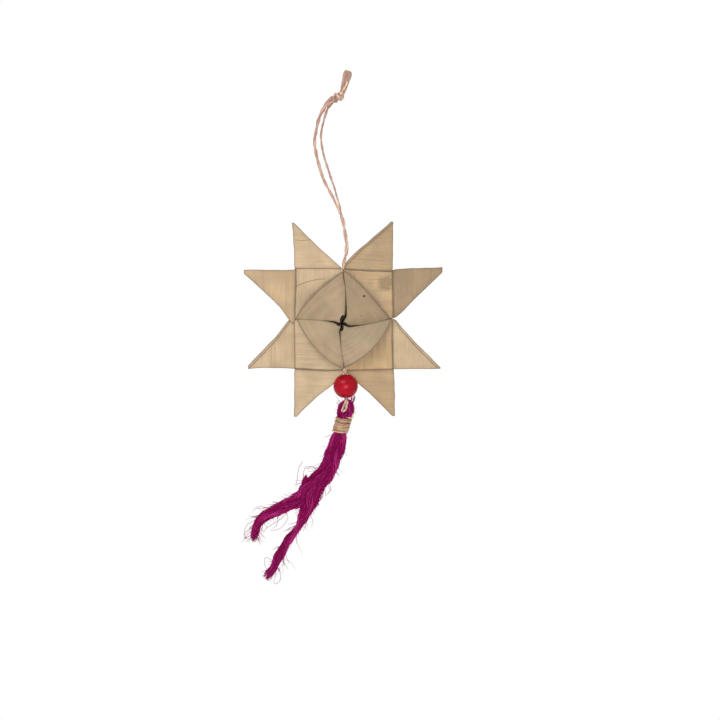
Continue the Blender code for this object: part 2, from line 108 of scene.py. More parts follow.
# The tassel, (x, z, radius) from the bead's lowest point.
BINDING_TOP = (-0.5, -8.7)
BINDING_FOOT = (-2.7, -15.8)
NECK_RADIUS = 2.35
SKIRT_ROUTE = (
    (-2.2, -13.5, 2.5), (-2.7, -16.0, 3.0), (-2.9, -17.6, 3.6), (-3.7, -20.0, 3.7),
    (-5.1, -26.0, 4.1), (-8.4, -34.3, 4.1), (-13.8, -41.2, 4.6), (-17.8, -46.2, 5.4),
)
LEFT_TAIL_ROUTE = (
    (-22.4, -49.5, 3.5), (-27.0, -51.4, 2.6), (-32.2, -53.9, 2.7), (-38.7, -56.9, 2.5),
    (-42.6, -60.9, 2.3), (-44.4, -65.4, 1.9), (-44.9, -70.4, 1.1),
)
RIGHT_TAIL_ROUTE = (
    (-17.8, -50.0, 4.4), (-18.6, -53.8, 2.9), (-21.5, -59.2, 2.1), (-23.4, -62.9, 1.5),
    (-26.9, -68.0, 1.8), (-29.4, -71.6, 1.6), (-31.8, -76.0, 2.1), (-33.8, -81.2, 2.5),
    (-37.2, -85.8, 2.3), (-39.3, -88.8, 1.7),
)
HEAD_ROUTE = (
    (-2.4, -15.2, 1.9), (-1.8, -11.0, 1.8), (-2.0, -8.8, 1.7), (-2.3, -6.4, 1.6),
    (-2.1, -4.2, 1.3), (-1.2, -2.5, 1.2), (0.6, -1.9, 1.1), (2.0, -2.2, 1.3),
    (2.3, -4.4, 1.35), (2.4, -6.8, 1.45), (1.7, -8.8, 1.6), (0.0, -11.0, 1.8),
    (-1.8, -15.2, 1.9),
)
HEAD_BEHIND = (
    (-2.2, -11.0, 1.5), (-1.5, -8.4, 1.7), (-0.8, -6.0, 1.6), (-0.2, -3.8, 1.3), (0.3, -2.2, 1.0),
)
HEAD_TUFT = ((2.3, -4.6, 0.6), (2.9, -2.6, 0.9), (3.5, -0.8, 1.0), (3.7, 1.0, 0.9), (3.6, 2.2, 0.5))
NECK_ROUTE = (
    (-0.3, -8.4, 1.7), (-0.7, -9.4, 2.4), (-1.8, -12.2, 2.5), (-2.8, -15.8, 2.6),
    (-2.9, -17.0, 2.8),
)

# The picture's scale, in mm, and the place of the cord's eye in it.
PIXEL = 0.4898
EYE_PIXEL = (324, 113)

rng = np.random.default_rng(11)


# Shapes from arrays of points


def unit(vectors):
    return vectors / np.maximum(np.linalg.norm(vectors, axis=-1, keepdims=True), 1e-9)


def stacked(*values):
    """Numbers and arrays that fit together, as the coordinates of points."""
    return np.stack(np.broadcast_arrays(*values), axis=-1)


def run_along(path):
    """The length from a path's first point to each of its points."""
    return np.concatenate([[0.0], np.linalg.norm(np.diff(path, axis=0), axis=1).cumsum()])


def beside(along):
    """Directions in the picture's plane, square to the given ones."""
    return stacked(along[..., 2], 0.0, -along[..., 0])


class Shape:
    """Collects the points, faces and maps of one mesh, in millimetres."""

    def __init__(self):
        self.points, self.faces, self.maps, self.count = [], [], [], 0

    def add(self, points, faces, maps):
        self.points.append(points.reshape(-1, 3))
        self.faces.append(faces.reshape(-1, 4) + self.count)
        self.maps.append({name: values.reshape(-1, 2) for name, values in maps.items()})
        self.count += len(self.points[-1])

    def make(self, name, material):
        points = np.concatenate(self.points) * MM
        faces = np.concatenate(self.faces)
        mesh = bpy.data.meshes.new(name)
        mesh.vertices.add(len(points))
        mesh.vertices.foreach_set("co", points.astype(np.float32).ravel())
        mesh.loops.add(faces.size)
        mesh.loops.foreach_set("vertex_index", faces.astype(np.int32).ravel())
        mesh.polygons.add(len(faces))
        mesh.polygons.foreach_set("loop_start", np.arange(0, faces.size, 4, dtype=np.int32))
        mesh.polygons.foreach_set("loop_total", np.full(len(faces), 4, dtype=np.int32))
        mesh.polygons.foreach_set("use_smooth", np.ones(len(faces), bool))
        for key in self.maps[0]:
            values = np.concatenate([m[key] for m in self.maps])[faces.ravel()]
            layer = mesh.uv_layers.new(name=key)
            layer.data.foreach_set("uv", values.astype(np.float32).ravel())
        mesh.update(calc_edges=True)
        mesh.validate()
        mesh.materials.append(material)
        obj = bpy.data.objects.new(name, mesh)
        bpy.context.scene.collection.objects.link(obj)
        return obj


def grid_faces(rows, columns, closed=False):
    """Quads between the points of a grid; closed joins its last column to its first."""
    row = np.arange(rows - 1)[:, None] * columns
    column = np.arange(columns if closed else columns - 1)[None, :]
    following = (column + 1) % columns
    below = row + columns
    return stacked(row + column, row + following, below + following, below + column)


def smooth_route(points, step):
    """Points a step apart along a smooth curve through the given rows of numbers."""
    points = np.asarray(points, float)
    guides = np.vstack([2 * points[0] - points[1], points, 2 * points[-1] - points[-2]])
    fine = []
    for i in range(1, len(guides) - 2):
        before, start, stop, after = guides[i - 1 : i + 3]
        for t in np.arange(16) / 16:
            first = before * (-t + 2 * t**2 - t**3) + start * (2 - 5 * t**2 + 3 * t**3)
            second = stop * (t + 4 * t**2 - 3 * t**3) + after * (t**3 - t**2)
            fine.append((first + second) / 2)
    fine = np.array(fine + [points[-1]])
    lengths = run_along(fine[:, :3])
    count = max(2, round(lengths[-1] / step))
    wanted = np.linspace(0, lengths[-1], count + 1)
    return stacked(*(np.interp(wanted, lengths, column) for column in fine.T))


def carried_frames(paths):
    """Directions along each path and two across it, carried along without any twist."""
    along = unit(np.gradient(paths, axis=1))
    guess = np.where(np.abs(along[:, 0, 1:2]) < 0.9, [[0.0, 1.0, 0.0]], [[1.0, 0.0, 0.0]])
    across = np.empty_like(paths)
    for i in range(paths.shape[1]):
        here = along[:, i]
        guess = unit(guess - here * (guess * here).sum(-1, keepdims=True))
        across[:, i] = guess
    return along, across, np.cross(along, across)


def add_tubes(shape, paths, radii, sides, tone):
    """Adds a tube along each path (count, points, 3). The fibre map is (length, way round)."""
    paths = np.asarray(paths, float)
    count, points, _ = paths.shape
    _, across, third = carried_frames(paths)
    radii = np.broadcast_to(np.asarray(radii, float), (count, points))
    way = 2 * np.pi * np.arange(sides) / sides
    out = across[:, :, None] * np.cos(way)[:, None] + third[:, :, None] * np.sin(way)[:, None]
    ring = paths[:, :, None] + out * radii[:, :, None, None]
    lengths = np.linalg.norm(np.diff(paths, axis=1), axis=2).cumsum(axis=1)
    lengths = np.concatenate([np.zeros((count, 1)), lengths], axis=1)
    end = np.linspace(0, 1, points)[:, None] + np.zeros(sides)
    faces = grid_faces(points, sides, closed=True)
    faces = faces + (np.arange(count) * points * sides)[:, None, None, None]
    maps = {
        "fibre": stacked(lengths[:, :, None], np.abs(way / np.pi - 1)),
        "tone": stacked(np.asarray(tone, float)[:, None, None], end),
    }
    shape.add(ring, faces, maps)


# Node materials


class Nodes:
    """A material and short ways to add its nodes."""

    def __init__(self, name):
        self.material = bpy.data.materials.new(name)
        self.material.use_nodes = True
        self.tree = self.material.node_tree
        self.shader = self.tree.nodes["Principled BSDF"]

    def put(self, socket, value):
        """Links a node's output to a socket, or sets the socket to a plain value."""
        if isinstance(value, bpy.types.NodeSocket):
            self.tree.links.new(value, socket)
        else:
            socket.default_value = value

    def node(self, kind, inputs=(), out=0, **settings):
        node = self.tree.nodes.new(kind)
        for key, value in settings.items():
            setattr(node, key, value)
        for key, value in dict(inputs).items():
            self.put(node.inputs[key], value)
        return node.outputs[out]

    def math(self, operation, a, b=0.0):
        return self.node("ShaderNodeMath", {0: a, 1: b}, operation=operation)

    def plus(self, first, *others):
        for value in others:
            first = self.math("ADD", first, value)
        return first

    def minus(self, a, b):
        return self.math("SUBTRACT", a, b)

    def times(self, first, *others):
        for value in others:
            first = self.math("MULTIPLY", first, value)
        return first

    def uv(self, name):
        return self.node("ShaderNodeUVMap", uv_map=name)

    def parts(self, vector):
        """The first two parts of a vector."""
        node = self.tree.nodes.new("ShaderNodeSeparateXYZ")
        self.put(node.inputs[0], vector)
        return node.outputs[0], node.outputs[1]

    def joined(self, x, y, z=0.0):
        return self.node("ShaderNodeCombineXYZ", {0: x, 1: y, 2: z})

    def noise(self, vector, scale, detail=2.0, roughness=0.5):
        inputs = {"Vector": vector, "Scale": scale, "Detail": detail, "Roughness": roughness}
        return self.node("ShaderNodeTexNoise", inputs)

    def stretched(self, x, x_scale, y, y_scale, detail=3.0, roughness=0.6):
        """Noise whose grains are drawn out by the two scales."""
        place = self.joined(self.times(x, x_scale), self.times(y, y_scale))
        return self.noise(place, 1.0, detail, roughness)

    def distance(self, place, u, v):
        inputs = {0: place, 1: (u, v, 0.0)}
        return self.node("ShaderNodeVectorMath", inputs, out=1, operation="DISTANCE")

    def ranged(self, value, low, high, to_low=0.0, to_high=1.0):
        names = ("Value", "From Min", "From Max", "To Min", "To Max")
        inputs = dict(zip(names, (value, low, high, to_low, to_high)))
        return self.node("ShaderNodeMapRange", inputs, interpolation_type="SMOOTHSTEP")

    def mix(self, share, a, b):
        inputs = {0: share, 6: a, 7: b}
        return self.node("ShaderNodeMix", inputs, out=2, data_type="RGBA")

    def scaled(self, colour, factor):
        inputs = {0: colour, "Scale": factor}
        return self.node("ShaderNodeVectorMath", inputs, operation="SCALE")

    def bump(self, height, strength, distance):
        inputs = {"Height": height, "Strength": strength, "Distance": distance}
        return self.node("ShaderNodeBump", inputs)

    def surface(self, inputs):
        """Sets the shader's inputs and gives the finished material."""
        for name, value in inputs.items():
            self.put(self.shader.inputs[name], value)
        return self.material


def linear(red, green, blue):
    """A colour given in display values of 0 to 255."""
    def one(value):
        value /= 255
        return value / 12.92 if value <= 0.04045 else ((value + 0.055) / 1.055) ** 2.4

    return (one(red), one(green), one(blue), 1.0)


def leaf_material():
    """Dry palm leaf: fine parallel veins, broad faint bands, a few marks; edges and creases darker,
    partly with painted shade.
    """
    n = Nodes("palm_leaf_dry")
    along, across = n.parts(n.uv("grain"))
    edge, marked = n.parts(n.uv("edge"))
    # The tone's first part is each part's own brightness times the painted shade and highlights set in
    # the shapes below.
    bright, warm = n.parts(n.uv("tone"))
    star = n.uv("star")
    star_u, star_v = n.parts(star)

    bands = n.stretched(along, 0.02, across, 0.33)
    veins = n.stretched(along, 0.05, across, 1.7, 4.0, 0.7)
    fine = n.stretched(along, 0.12, across, 6.5, 2.0)
    mottle = n.noise(star, 0.13, 4.0, 0.65)
    grime = n.noise(star, 0.9, 3.0, 0.7)
    blush = n.noise(n.joined(star_v, star_u), 0.17, 3.0, 0.6)
    wide = n.noise(star, 0.075)

    colour = n.mix(n.math("MAXIMUM", warm, 0.0), LEAF_COLOUR, LEAF_WARM)
    colour = n.mix(n.math("MAXIMUM", n.times(warm, -1.0), 0.0), colour, LEAF_GREY)
    stripes = n.times(n.ranged(warm, 0.3, 1.0, 0.22, 0.8), n.ranged(bands, 0.42, 0.66))
    colour = n.mix(stripes, colour, LEAF_DEEP)
    colour = n.mix(n.ranged(mottle, 0.45, 0.72, 0.0, 0.6), colour, LEAF_GREEN)
    colour = n.mix(n.ranged(blush, 0.48, 0.72, 0.0, 0.55), colour, LEAF_BLUSH)
    # Darker towards the leaves' edges and seams: partly the cut edges' own colour, partly painted shade
    # along the seams.
    rim = n.plus(edge, n.ranged(grime, 0.2, 0.8, -0.12, 0.12))
    shade = n.times(
        n.ranged(veins, 0.3, 0.72, 1.085, 0.885), n.ranged(fine, 0.3, 0.75, 1.025, 0.95),
        n.ranged(grime, 0.45, 0.8, 1.0, 0.95), n.ranged(wide, 0.35, 0.65, 1.09, 0.92),
        n.ranged(rim, 0.2, 2.6, 0.92, 1.0), bright,
    )
    colour = n.scaled(colour, shade)
    colour = n.mix(n.ranged(rim, 0.10, 0.50, 0.72, 0.0), colour, EDGE_AND_SEAM_SHADE)

    def patch(u, v, low, high, wobble=0.0):
        away = n.distance(star, u, v)
        if wobble:
            away = n.plus(away, n.ranged(grime, 0.2, 0.8, -wobble, wobble))
        return n.times(n.ranged(away, low, high, 1.0, 0.0), marked)

    def line(distance, half_width):
        away = n.math("ABSOLUTE", distance)
        return n.times(n.ranged(away, 0.3 * half_width, half_width, 1.0, 0.0), marked)

    def between(value, low, high):
        rising = n.ranged(value, low, low + 0.8)
        return n.times(rising, n.ranged(value, high - 0.8, high, 1.0, 0.0))

    speckle = n.ranged(n.noise(star, 2.6, 2.0, 0.8), 0.42, 0.62)
    stain = n.times(patch(20.2, 17.4, 2.4, 4.6, 1.4), n.ranged(speckle, 0.0, 1.0, 0.35, 0.95))
    colour = n.mix(stain, colour, STAIN_COLOUR)
    colour = n.mix(n.times(patch(13.0, 17.2, 0.6, 2.6, 1.0), 0.22), colour, STAIN_COLOUR)
    for u, v, size in SPECKS:
        colour = n.mix(patch(u, v, 0.5 * size, size), colour, SPECK_COLOUR)

    arc = n.minus(n.distance(star, -8.2, -13.6), 33.2)
    beyond = n.plus(star_u, 20.5)
    top = n.minus(star_v, n.plus(38.5, n.times(beyond, beyond, 0.02)))
    slanted = n.plus(star_u, n.times(star_v, 0.28))
    lines = [
        n.times(line(arc, 0.35), between(star_u, -24.2, -9.0), between(star_v, 10.0, 23.0)),
        n.times(line(top, 0.3), between(star_u, -25.5, -15.6)),
    ]
    for at, low, high in ((9.3, 18.3, 23.8), (10.8, 16.4, 23.0)):
        lines.append(n.times(line(n.minus(slanted, at), 0.25), between(star_v, low, high)))
    for at in (-35.6, -33.9):
        upright = line(n.minus(star_u, at), 0.22)
        lines.append(n.times(upright, between(star_v, -25.0, -13.0), 0.6))
    creases = 0.0
    for crease_shade in lines:
        creases = n.math("MAXIMUM", creases, crease_shade)
    # The crease lines are darkened with painted shade, and dented by the bump below.
    colour = n.mix(n.times(creases, 0.55), colour, CREASE_SHADE_COLOUR)
    height = n.minus(n.plus(n.times(veins, 0.7), n.times(fine, 0.4)), n.times(creases, 1.2))
    return n.surface({
        "Base Color": colour, "Roughness": n.ranged(veins, 0.3, 0.7, 0.52, 0.68),
        "Specular IOR Level": 0.3, "Normal": n.bump(height, 0.35, 0.00012),
    })


def fibre_material(name, deep, middle, pale, roughness, sheen, lift):
    """Twine or tassel fibre: each fibre its own tone, with streaks along it."""
    n = Nodes(name)
    length, way = n.parts(n.uv("fibre"))
    tone, end = n.parts(n.uv("tone"))
    place = n.joined(n.times(length, 0.35), n.times(way, 3.0), n.times(tone, 37.0))
    streaks = n.noise(place, 1.0, 3.0, 0.7)
    place = n.joined(n.plus(n.times(length, 0.5), way), n.times(way, 0.6), tone)
    inputs = {"Vector": place, "Scale": 1.3, "Distortion": 3.0, "Detail": 2.0}
    lay = n.node("ShaderNodeTexWave", inputs, out=1)
    value = n.plus(n.times(tone, 0.62), n.times(streaks, 0.45), n.times(lay, 0.08))
    value = n.plus(value, n.times(end, lift))
    colour = n.mix(n.ranged(value, 0.18, 0.55), deep, middle)
    colour = n.mix(n.ranged(value, 0.58, 0.95), colour, pale)
    return n.surface({
        "Base Color": colour, "Roughness": n.ranged(streaks, 0.3, 0.7, roughness, roughness + 0.12),
        "Specular IOR Level": 0.12, "Sheen Weight": sheen,
        "Normal": n.bump(n.plus(streaks, lay), 0.4, 0.00008),
    })


def paint_material():
    """Glossy red paint on a small wooden bead, with faint brush rings and a worn rim."""
    n = Nodes("bead_red_paint")
    turn, height = n.parts(n.uv("fibre"))
    worn, _ = n.parts(n.uv("tone"))
    cloud = n.stretched(turn, 0.16, height, 0.35)
    rings = n.stretched(turn, 0.02, height, 2.4)
    chips = n.noise(n.joined(turn, height), 1.1, 3.0, 0.7)
    colour = n.mix(n.ranged(cloud, 0.3, 0.7), PAINT_DEEP, PAINT_BRIGHT)
    colour = n.mix(n.ranged(rings, 0.35, 0.75, 0.0, 0.3), colour, PAINT_DEEP)
    bare = n.times(n.ranged(worn, 0.55, 1.0), n.ranged(chips, 0.5, 0.62))
    colour = n.mix(bare, colour, BARE_WOOD)
    return n.surface({
        "Base Color": colour, "Roughness": n.ranged(cloud, 0.3, 0.7, 0.22, 0.32),
        "Specular IOR Level": 0.16, "Coat Weight": 0.05, "Coat Roughness": 0.12,
        "Normal": n.bump(n.plus(rings, cloud), 0.25, 0.0001),
    })


def stage_material():
    """A pale, dull floor."""
    n = Nodes("studio_floor")
    tone = n.noise(n.node("ShaderNodeTexCoord", out=3), 9.0)
    colour = n.mix(tone, (0.80, 0.79, 0.77, 1), (0.86, 0.85, 0.83, 1))
    return n.surface({"Base Color": colour, "Roughness": 0.8})


LEAF_COLOUR = linear(190, 166, 133)
LEAF_WARM = linear(194, 160, 116)
LEAF_DEEP = linear(170, 138, 100)
LEAF_GREY = linear(181, 163, 138)
# The leaves' darker cut edges, with painted shade along the seams.
EDGE_AND_SEAM_SHADE = linear(84, 58, 48)
LEAF_GREEN = linear(176, 157, 122)
LEAF_BLUSH = linear(195, 163, 139)
STAIN_COLOUR = linear(112, 98, 66)
SPECK_COLOUR = linear(84, 52, 40)
# Painted shade in the leaf's creases.
CREASE_SHADE_COLOUR = linear(104, 84, 58)
SPECKS = ((9.8, 10.9, 0.8), (8.1, 1.2, 0.32), (-14.5, -40.0, 0.4))
PAINT_DEEP = linear(140, 0, 20)
PAINT_BRIGHT = linear(174, 1, 30)
BARE_WOOD = linear(196, 160, 112)

leaf = leaf_material()
twine = fibre_material(
    "twine_fibre", linear(132, 98, 88), linear(184, 147, 132), linear(228, 202, 172),
    roughness=0.8, sheen=0.1, lift=0.22,
)
straw = fibre_material(
    "straw_twine", linear(126, 88, 68), linear(188, 150, 120), linear(232, 204, 166),
    roughness=0.7, sheen=0.1, lift=0.0,
)
dyed = fibre_material(
    "dyed_magenta_fibre", linear(78, 0, 42), linear(140, 0, 82), linear(196, 52, 134),
    roughness=0.62, sheen=0.0, lift=0.06,
)
paint = paint_material()


# Camera


CAMERA_DISTANCE = 900.0
FRAME_CENTRE = (17.63, -120.98)
FRAME_WIDTH = 352.65
SENSOR_WIDTH = 36.0
camera_data = bpy.data.cameras.new("camera")
camera_data.sensor_width = SENSOR_WIDTH
camera_data.lens = SENSOR_WIDTH * CAMERA_DISTANCE / FRAME_WIDTH
camera_data.clip_start = 0.01
camera_data.clip_end = 20.0
camera = bpy.data.objects.new("camera", camera_data)
camera.location = (FRAME_CENTRE[0] * MM, -CAMERA_DISTANCE * MM, FRAME_CENTRE[1] * MM)
camera.rotation_euler = (math.pi / 2, 0.0, 0.0)
bpy.context.scene.collection.objects.link(camera)
bpy.context.scene.camera = camera


# Cords


def add_twisted(
    shape, path, pitch=PLY_PITCH, width=1.15, phase=0.0, tone=0.5, yarns=6, swell=1.0, sides=6,
):
    """Two plies of several yarns laid round each other along a path in millimetres."""
    path = np.asarray(path, float)
    _, across, third = (part[0] for part in carried_frames(path[None]))
    lengths = run_along(path)
    waves = 0.09 * np.sin(lengths * 0.83 + phase) + 0.06 * np.sin(lengths * 2.1 + 2 * phase)
    size = width * (1.0 + waves) * swell
    offset = 0.135 * size
    yarn_reach = 0.62 * 0.255 * size
    for ply in (0, 1):
        angle = phase + math.pi * ply + 2 * math.pi * lengths / pitch
        for yarn in range(yarns):
            own = angle * 0.6 + 2 * math.pi * yarn / yarns + ply
            centre = path + (
                across * (offset * np.cos(angle) + yarn_reach * np.cos(own))[:, None]
                + third * (offset * np.sin(angle) + yarn_reach * np.sin(own))[:, None]
            )
            shade = tone - 0.10 + 0.30 * ply + rng.uniform(-0.16, 0.16)
            add_tubes(shape, centre[None], yarn_reach[None], sides, [shade])


def add_fuzz(shape, path, count, reach, length, radius, tone_low, tone_high):
    """Short loose fibres that lift off a path."""
    path = np.asarray(path, float)
    along = unit(np.gradient(path, axis=0))
    at = rng.integers(2, len(path) - 2, count)
    outward = unit(np.cross(along[at], unit(rng.normal(size=(count, 3)))))
    lean = along[at] * rng.choice([-1, 1], (count, 1)) * rng.uniform(0.5, 1.5, (count, 1))
    share = np.linspace(0, 1, 7)[None, :, None]
    size = rng.uniform(0.4, 1.0, (count, 1, 1)) * length
    start = (path[at] + outward * reach)[:, None]
    curl = unit(rng.normal(size=(count, 3)))[:, None]
    paths = start + (lean[:, None] * share + outward[:, None] * 0.55 * share**1.5) * size
    paths += curl * np.sin(share * 3.0) * size * 0.16
    radii = radius * np.array([1, 1, 1, 0.9, 0.8, 0.6, 0.3])
    add_tubes(shape, paths, radii[None], 3, rng.uniform(tone_low, tone_high, count))


def pair_strand(phase):
    """One strand's points, in metres, where the two hanging strands are twisted together."""
    axis = smooth_route([(x, 0.0, z) for x, z in PAIR_ROUTE], 0.0016)
    points = []
    for i, here in enumerate(axis):
        before, after = axis[max(i - 1, 0)], axis[min(i + 1, len(axis) - 1)]
        across = unit(np.array([before[2] - after[2], 0.0, after[0] - before[0]]))
        angle = phase + 2 * math.pi * PAIR_TURNS * i / (len(axis) - 1)
        offset = across * math.cos(angle) + np.array([0, -1, 0]) * math.sin(angle)
        points.append(here + offset * TWIST_RADIUS)
    return points


def settled(path, reach):
    """A path with its small kinks pulled straight."""
    padded = np.vstack([path[:1]] * reach + [path] + [path[-1:]] * reach)
    weights = np.hanning(2 * reach + 3)[1:-1]
    weights /= weights.sum()
    return stacked(*(np.convolve(column, weights, "valid") for column in padded.T))


def hanging_strand(name, route, phase, tone, width):
    """A strand from the knot, thickest there, into the twisted pair: the piece and its path."""
    points = [np.array([x, 0.0, z]) for x, z in route] + pair_strand(phase)
    path = smooth_route(points, STRAND_STEP * MM)
    path[3:-3] = settled(path, 9)[3:-3]
    reached = np.arange(len(path)) * STRAND_STEP
    swell = 1.0 + 0.5 * np.clip(1.15 - reached / 10.0, 0, 1)
    swell = swell * np.interp(reached, SWELL_PLACES, SWELLS)
    shape = Shape()
    add_twisted(shape, path / MM, width=width, phase=phase, tone=tone, swell=swell)
    add_fuzz(shape, path / MM, 130, 0.5, 1.7, 0.04, 0.5, 0.95)
    return shape.make(name, twine), path


left_cord, left_path = hanging_strand("twine_left", LEFT_ROUTE, math.pi, 0.36, 1.86)
right_cord, right_path = hanging_strand("twine_right", RIGHT_ROUTE, 0.0, 0.22, 1.30)


def route_length(path):
    return float(run_along(path)[-1])


def bead_cord_path():
    """From the lower notch through the bead, round the tassel's folded head and back, in mm."""
    route = [(x, y, BEAD_FOOT[2] + z) for x, y, z in BEAD_CORD_ROUTE]
    start = (LOWER_NOTCH[0] - 0.05, -0.70, LOWER_NOTCH[2])
    stop = (LOWER_NOTCH[0] + 0.05, 0.70, LOWER_NOTCH[2])
    return smooth_route([start, *route, stop], 0.3)


bead_path = bead_cord_path() * MM
bead_shape = Shape()
apart = np.linalg.norm(bead_path - bead_path[0], axis=1) / MM
add_twisted(
    bead_shape, bead_path / MM, pitch=4.2, width=1.28, tone=0.5,
    swell=1.0 + 1.05 * np.clip(1 - apart / 4.5, 0, 1),
)
add_fuzz(bead_shape, bead_path / MM, 60, 0.5, 1.3, 0.04, 0.6, 1.0)
bead_cord = bead_shape.make("twine_through_bead", twine)


# The knot and its frayed ends


def make_knot():
    """Turns of twine round a core, and two untwisted ends side by side, flattened."""
    shape = Shape()
    axis = smooth_route(KNOT_AXIS, 0.1)
    _, across, third = (part[0] for part in carried_frames(axis[None]))
    share = np.linspace(0, 1, len(axis))
    girth = 0.9 + 0.95 * np.sin(np.pi * np.clip(share * 1.1, 0, 1)) ** 0.6
    for number, (turns, start, phase, tone) in enumerate(KNOT_TURNS):
        part = share >= start
        angle = phase + 2 * np.pi * turns * share[part]
        size = girth[part] * (1.0 if number < 2 else 1.12)
        path = axis[part] + size[:, None] * (
            across[part] * (0.86 * np.cos(angle))[:, None] + third[part] * np.sin(angle)[:, None]
        )
        path = smooth_route(path[::4], 0.3)
        add_twisted(shape, path, pitch=3.8, width=1.5, phase=phase, tone=tone)
    for tone, side, depth in ((0.3, -0.55, -0.55), (0.15, 0.5, 0.5), (0.45, 0.1, -0.1)):
        path = axis + across * depth + third * side
        add_twisted(shape, path[::3], pitch=4.0, width=1.7, tone=tone)

    spine = smooth_route(FRAYED_ROUTE, 0.5)
    count = 420
    way = rng.uniform(0, 2 * np.pi, count)[:, None]
    out = np.sqrt(rng.uniform(0.25, 1.0, count))[:, None]
    reach = rng.uniform(0.93, 1.0, count)[:, None] - 0.05 * out**3
    steps = np.linspace(0, 1, 19)
    at = np.clip(steps * reach, 0, 1) * (len(spine) - 1)
    x, z, radius = (np.interp(at, np.arange(len(spine)), column) for column in spine.T)
    centre = stacked(x, 0.0, z)
    sideways = beside(unit(np.gradient(centre, axis=1)))
    swing = way + 1.1 * steps
    wave = 0.10 * np.sin(at * 0.9 + way * 5) + 0.06 * np.sin(at * 1.9 + way * 9)
    paths = centre + sideways * (np.cos(swing) * out * radius + wave)[..., None]
    paths[..., 1] += np.sin(swing) * out * radius * 0.62 + wave
    thickness = 0.151 * np.minimum(1.0, 1.25 - steps)
    add_tubes(shape, paths, thickness[None], 3, rng.uniform(0.0, 0.55, count))
    crossing = smooth_route(CROSSING_ROUTE, 0.3)
    add_twisted(shape, crossing, pitch=5.0, width=0.95, tone=0.85)
    strays = smooth_route([(x, 0.0, z) for x, z, _ in spine], 0.5)
    add_fuzz(shape, strays, 60, 1.4, 2.2, 0.03, 0.3, 0.9)
    return shape.make("knot_and_frayed_ends", twine)


knot = make_knot()


# The bead


def make_bead():
    """A turned bead, a little out of round, with a bore whose lips are worn."""
    shape = Shape()
    bore = 1.55
    start = math.asin((bore + 0.45) / BEAD_RADIUS)
    lip = BEAD_RADIUS * math.cos(start)
    edge = [(bore + 0.30, lip + 0.02, 0.7), (bore + 0.10, lip - 0.12, 0.9), (bore, lip - 0.4, 1.0)]
    profile = [
        (BEAD_RADIUS * math.sin(angle), BEAD_RADIUS * math.cos(angle), 0.0)
        for angle in np.linspace(start, math.pi - start, 46)
    ]
    profile += [(radius, -z, worn) for radius, z, worn in edge]
    profile += [(bore, z, 1.0) for z in np.linspace(-lip + 0.8, lip - 0.8, 8)]
    profile += edge[::-1] + profile[:1]
    girth, height, worn = np.array(profile).T[:, :, None]
    turns = np.linspace(0, 2 * np.pi, 97)
    radius = girth * (1 + 0.006 * np.sin(2 * turns + 0.6) + 0.003 * np.sin(3 * turns))
    points = stacked(radius * np.cos(turns), radius * np.sin(turns), height)
    points[..., 2] += 0.04 * np.sin(turns + 1.0) * girth / BEAD_RADIUS
    around = np.abs(turns - np.pi) * BEAD_RADIUS
    maps = {"fibre": stacked(around, height), "tone": stacked(worn, 0.0 * around)}
    shape.add(points + BEAD_CENTRE, grid_faces(len(profile), 97)[..., ::-1], maps)
    return shape.make("red_bead", paint)


bead = make_bead()


# The leaf strips


def cone_angles():
    """Half-angle, turn and dip of the round cone that a flat strip makes when it is turned a
    right angle about its inner edge."""
    flat_angle = 2 * math.atan(CONE_SLOPE)
    open_angle = math.acos(CONE_SLOPE**2 / (1 + CONE_SLOPE**2))
    low, high = 0.01, 1.2

    def at(lean):
        half = math.acos(math.cos(lean) * math.cos(open_angle / 2))
        turn = math.acos((math.cos(open_angle) - math.cos(half) ** 2) / math.sin(half) ** 2)
        return half, turn

    def excess(lean):
        half, turn = at(lean)
        return turn * math.sin(half) - flat_angle

    for _ in range(60):
        lean = (low + high) / 2
        if (excess(low) < 0) == (excess(lean) < 0):
            low = lean
        else:
            high = lean
    half, turn = at(lean)
    return half, turn, math.atan(math.sqrt(2) * CONE_SLOPE) + lean


def thin_plate(sources, targets):
    """A smooth map of the plane that takes the source points to the target points."""
    count = len(sources)

    def kernel(a, b):
        square = ((a[:, None] - b[None]) ** 2).sum(-1)
        return square * np.log(square + 1e-9)

    system = np.zeros((count + 3, count + 3))
    system[:count, :count] = kernel(sources, sources) + np.eye(count) * 2.0
    system[:count, count:] = np.hstack([np.ones((count, 1)), sources])
    system[count:, :count] = system[:count, count:].T
    weights = np.linalg.solve(system, np.vstack([targets - sources, np.zeros((3, 2))]))

    def moved(points):
        flat = points.reshape(-1, 2)
        basis = np.hstack([kernel(flat, sources), np.ones((len(flat), 1)), flat])
        return (flat + basis @ weights).reshape(points.shape)

    return moved


# Where handwork has left the corners, notches and tips: (u, v) as drawn, then as made.
HANDWORK = np.array([
    (-24.0, 24.0, -24.1, 24.8), (24.0, 24.0, 23.8, 23.8), (24.0, -24.0, 24.4, -24.7),
    (-24.0, -24.0, -24.1, -24.8), (-0.78, 24.0, -0.8, 24.7), (24.0, 0.78, 24.1, 0.7),
    (0.78, -24.0, 0.6, -25.3), (-24.0, -0.78, -24.5, -0.7), (-23.6, 48.0, -25.2, 47.2),
    (23.6, 48.0, 23.9, 47.6), (48.0, 23.6, 48.2, 25.0), (48.0, -23.6, 47.2, -23.9),
    (23.6, -48.0, 24.6, -47.5), (-23.6, -48.0, -24.3, -47.8), (-48.0, -23.6, -47.0, -24.0),
    (-48.0, 23.6, -49.0, 24.2), (0.0, 0.0, 0.0, 0.0), (-9.0, -24.0, -9.1, -25.6),
])
as_made = thin_plate(HANDWORK[:, :2], HANDWORK[:, 2:])
# How far the front cones' tips lean to one side and down.
CONE_LEAN = np.array([-0.96, -2.9])
# How far each cone's free edge was pressed in: lower right, upper right, upper left, lower left.
FLATTENED = (0.4, 1.6, 1.3, 1.3)
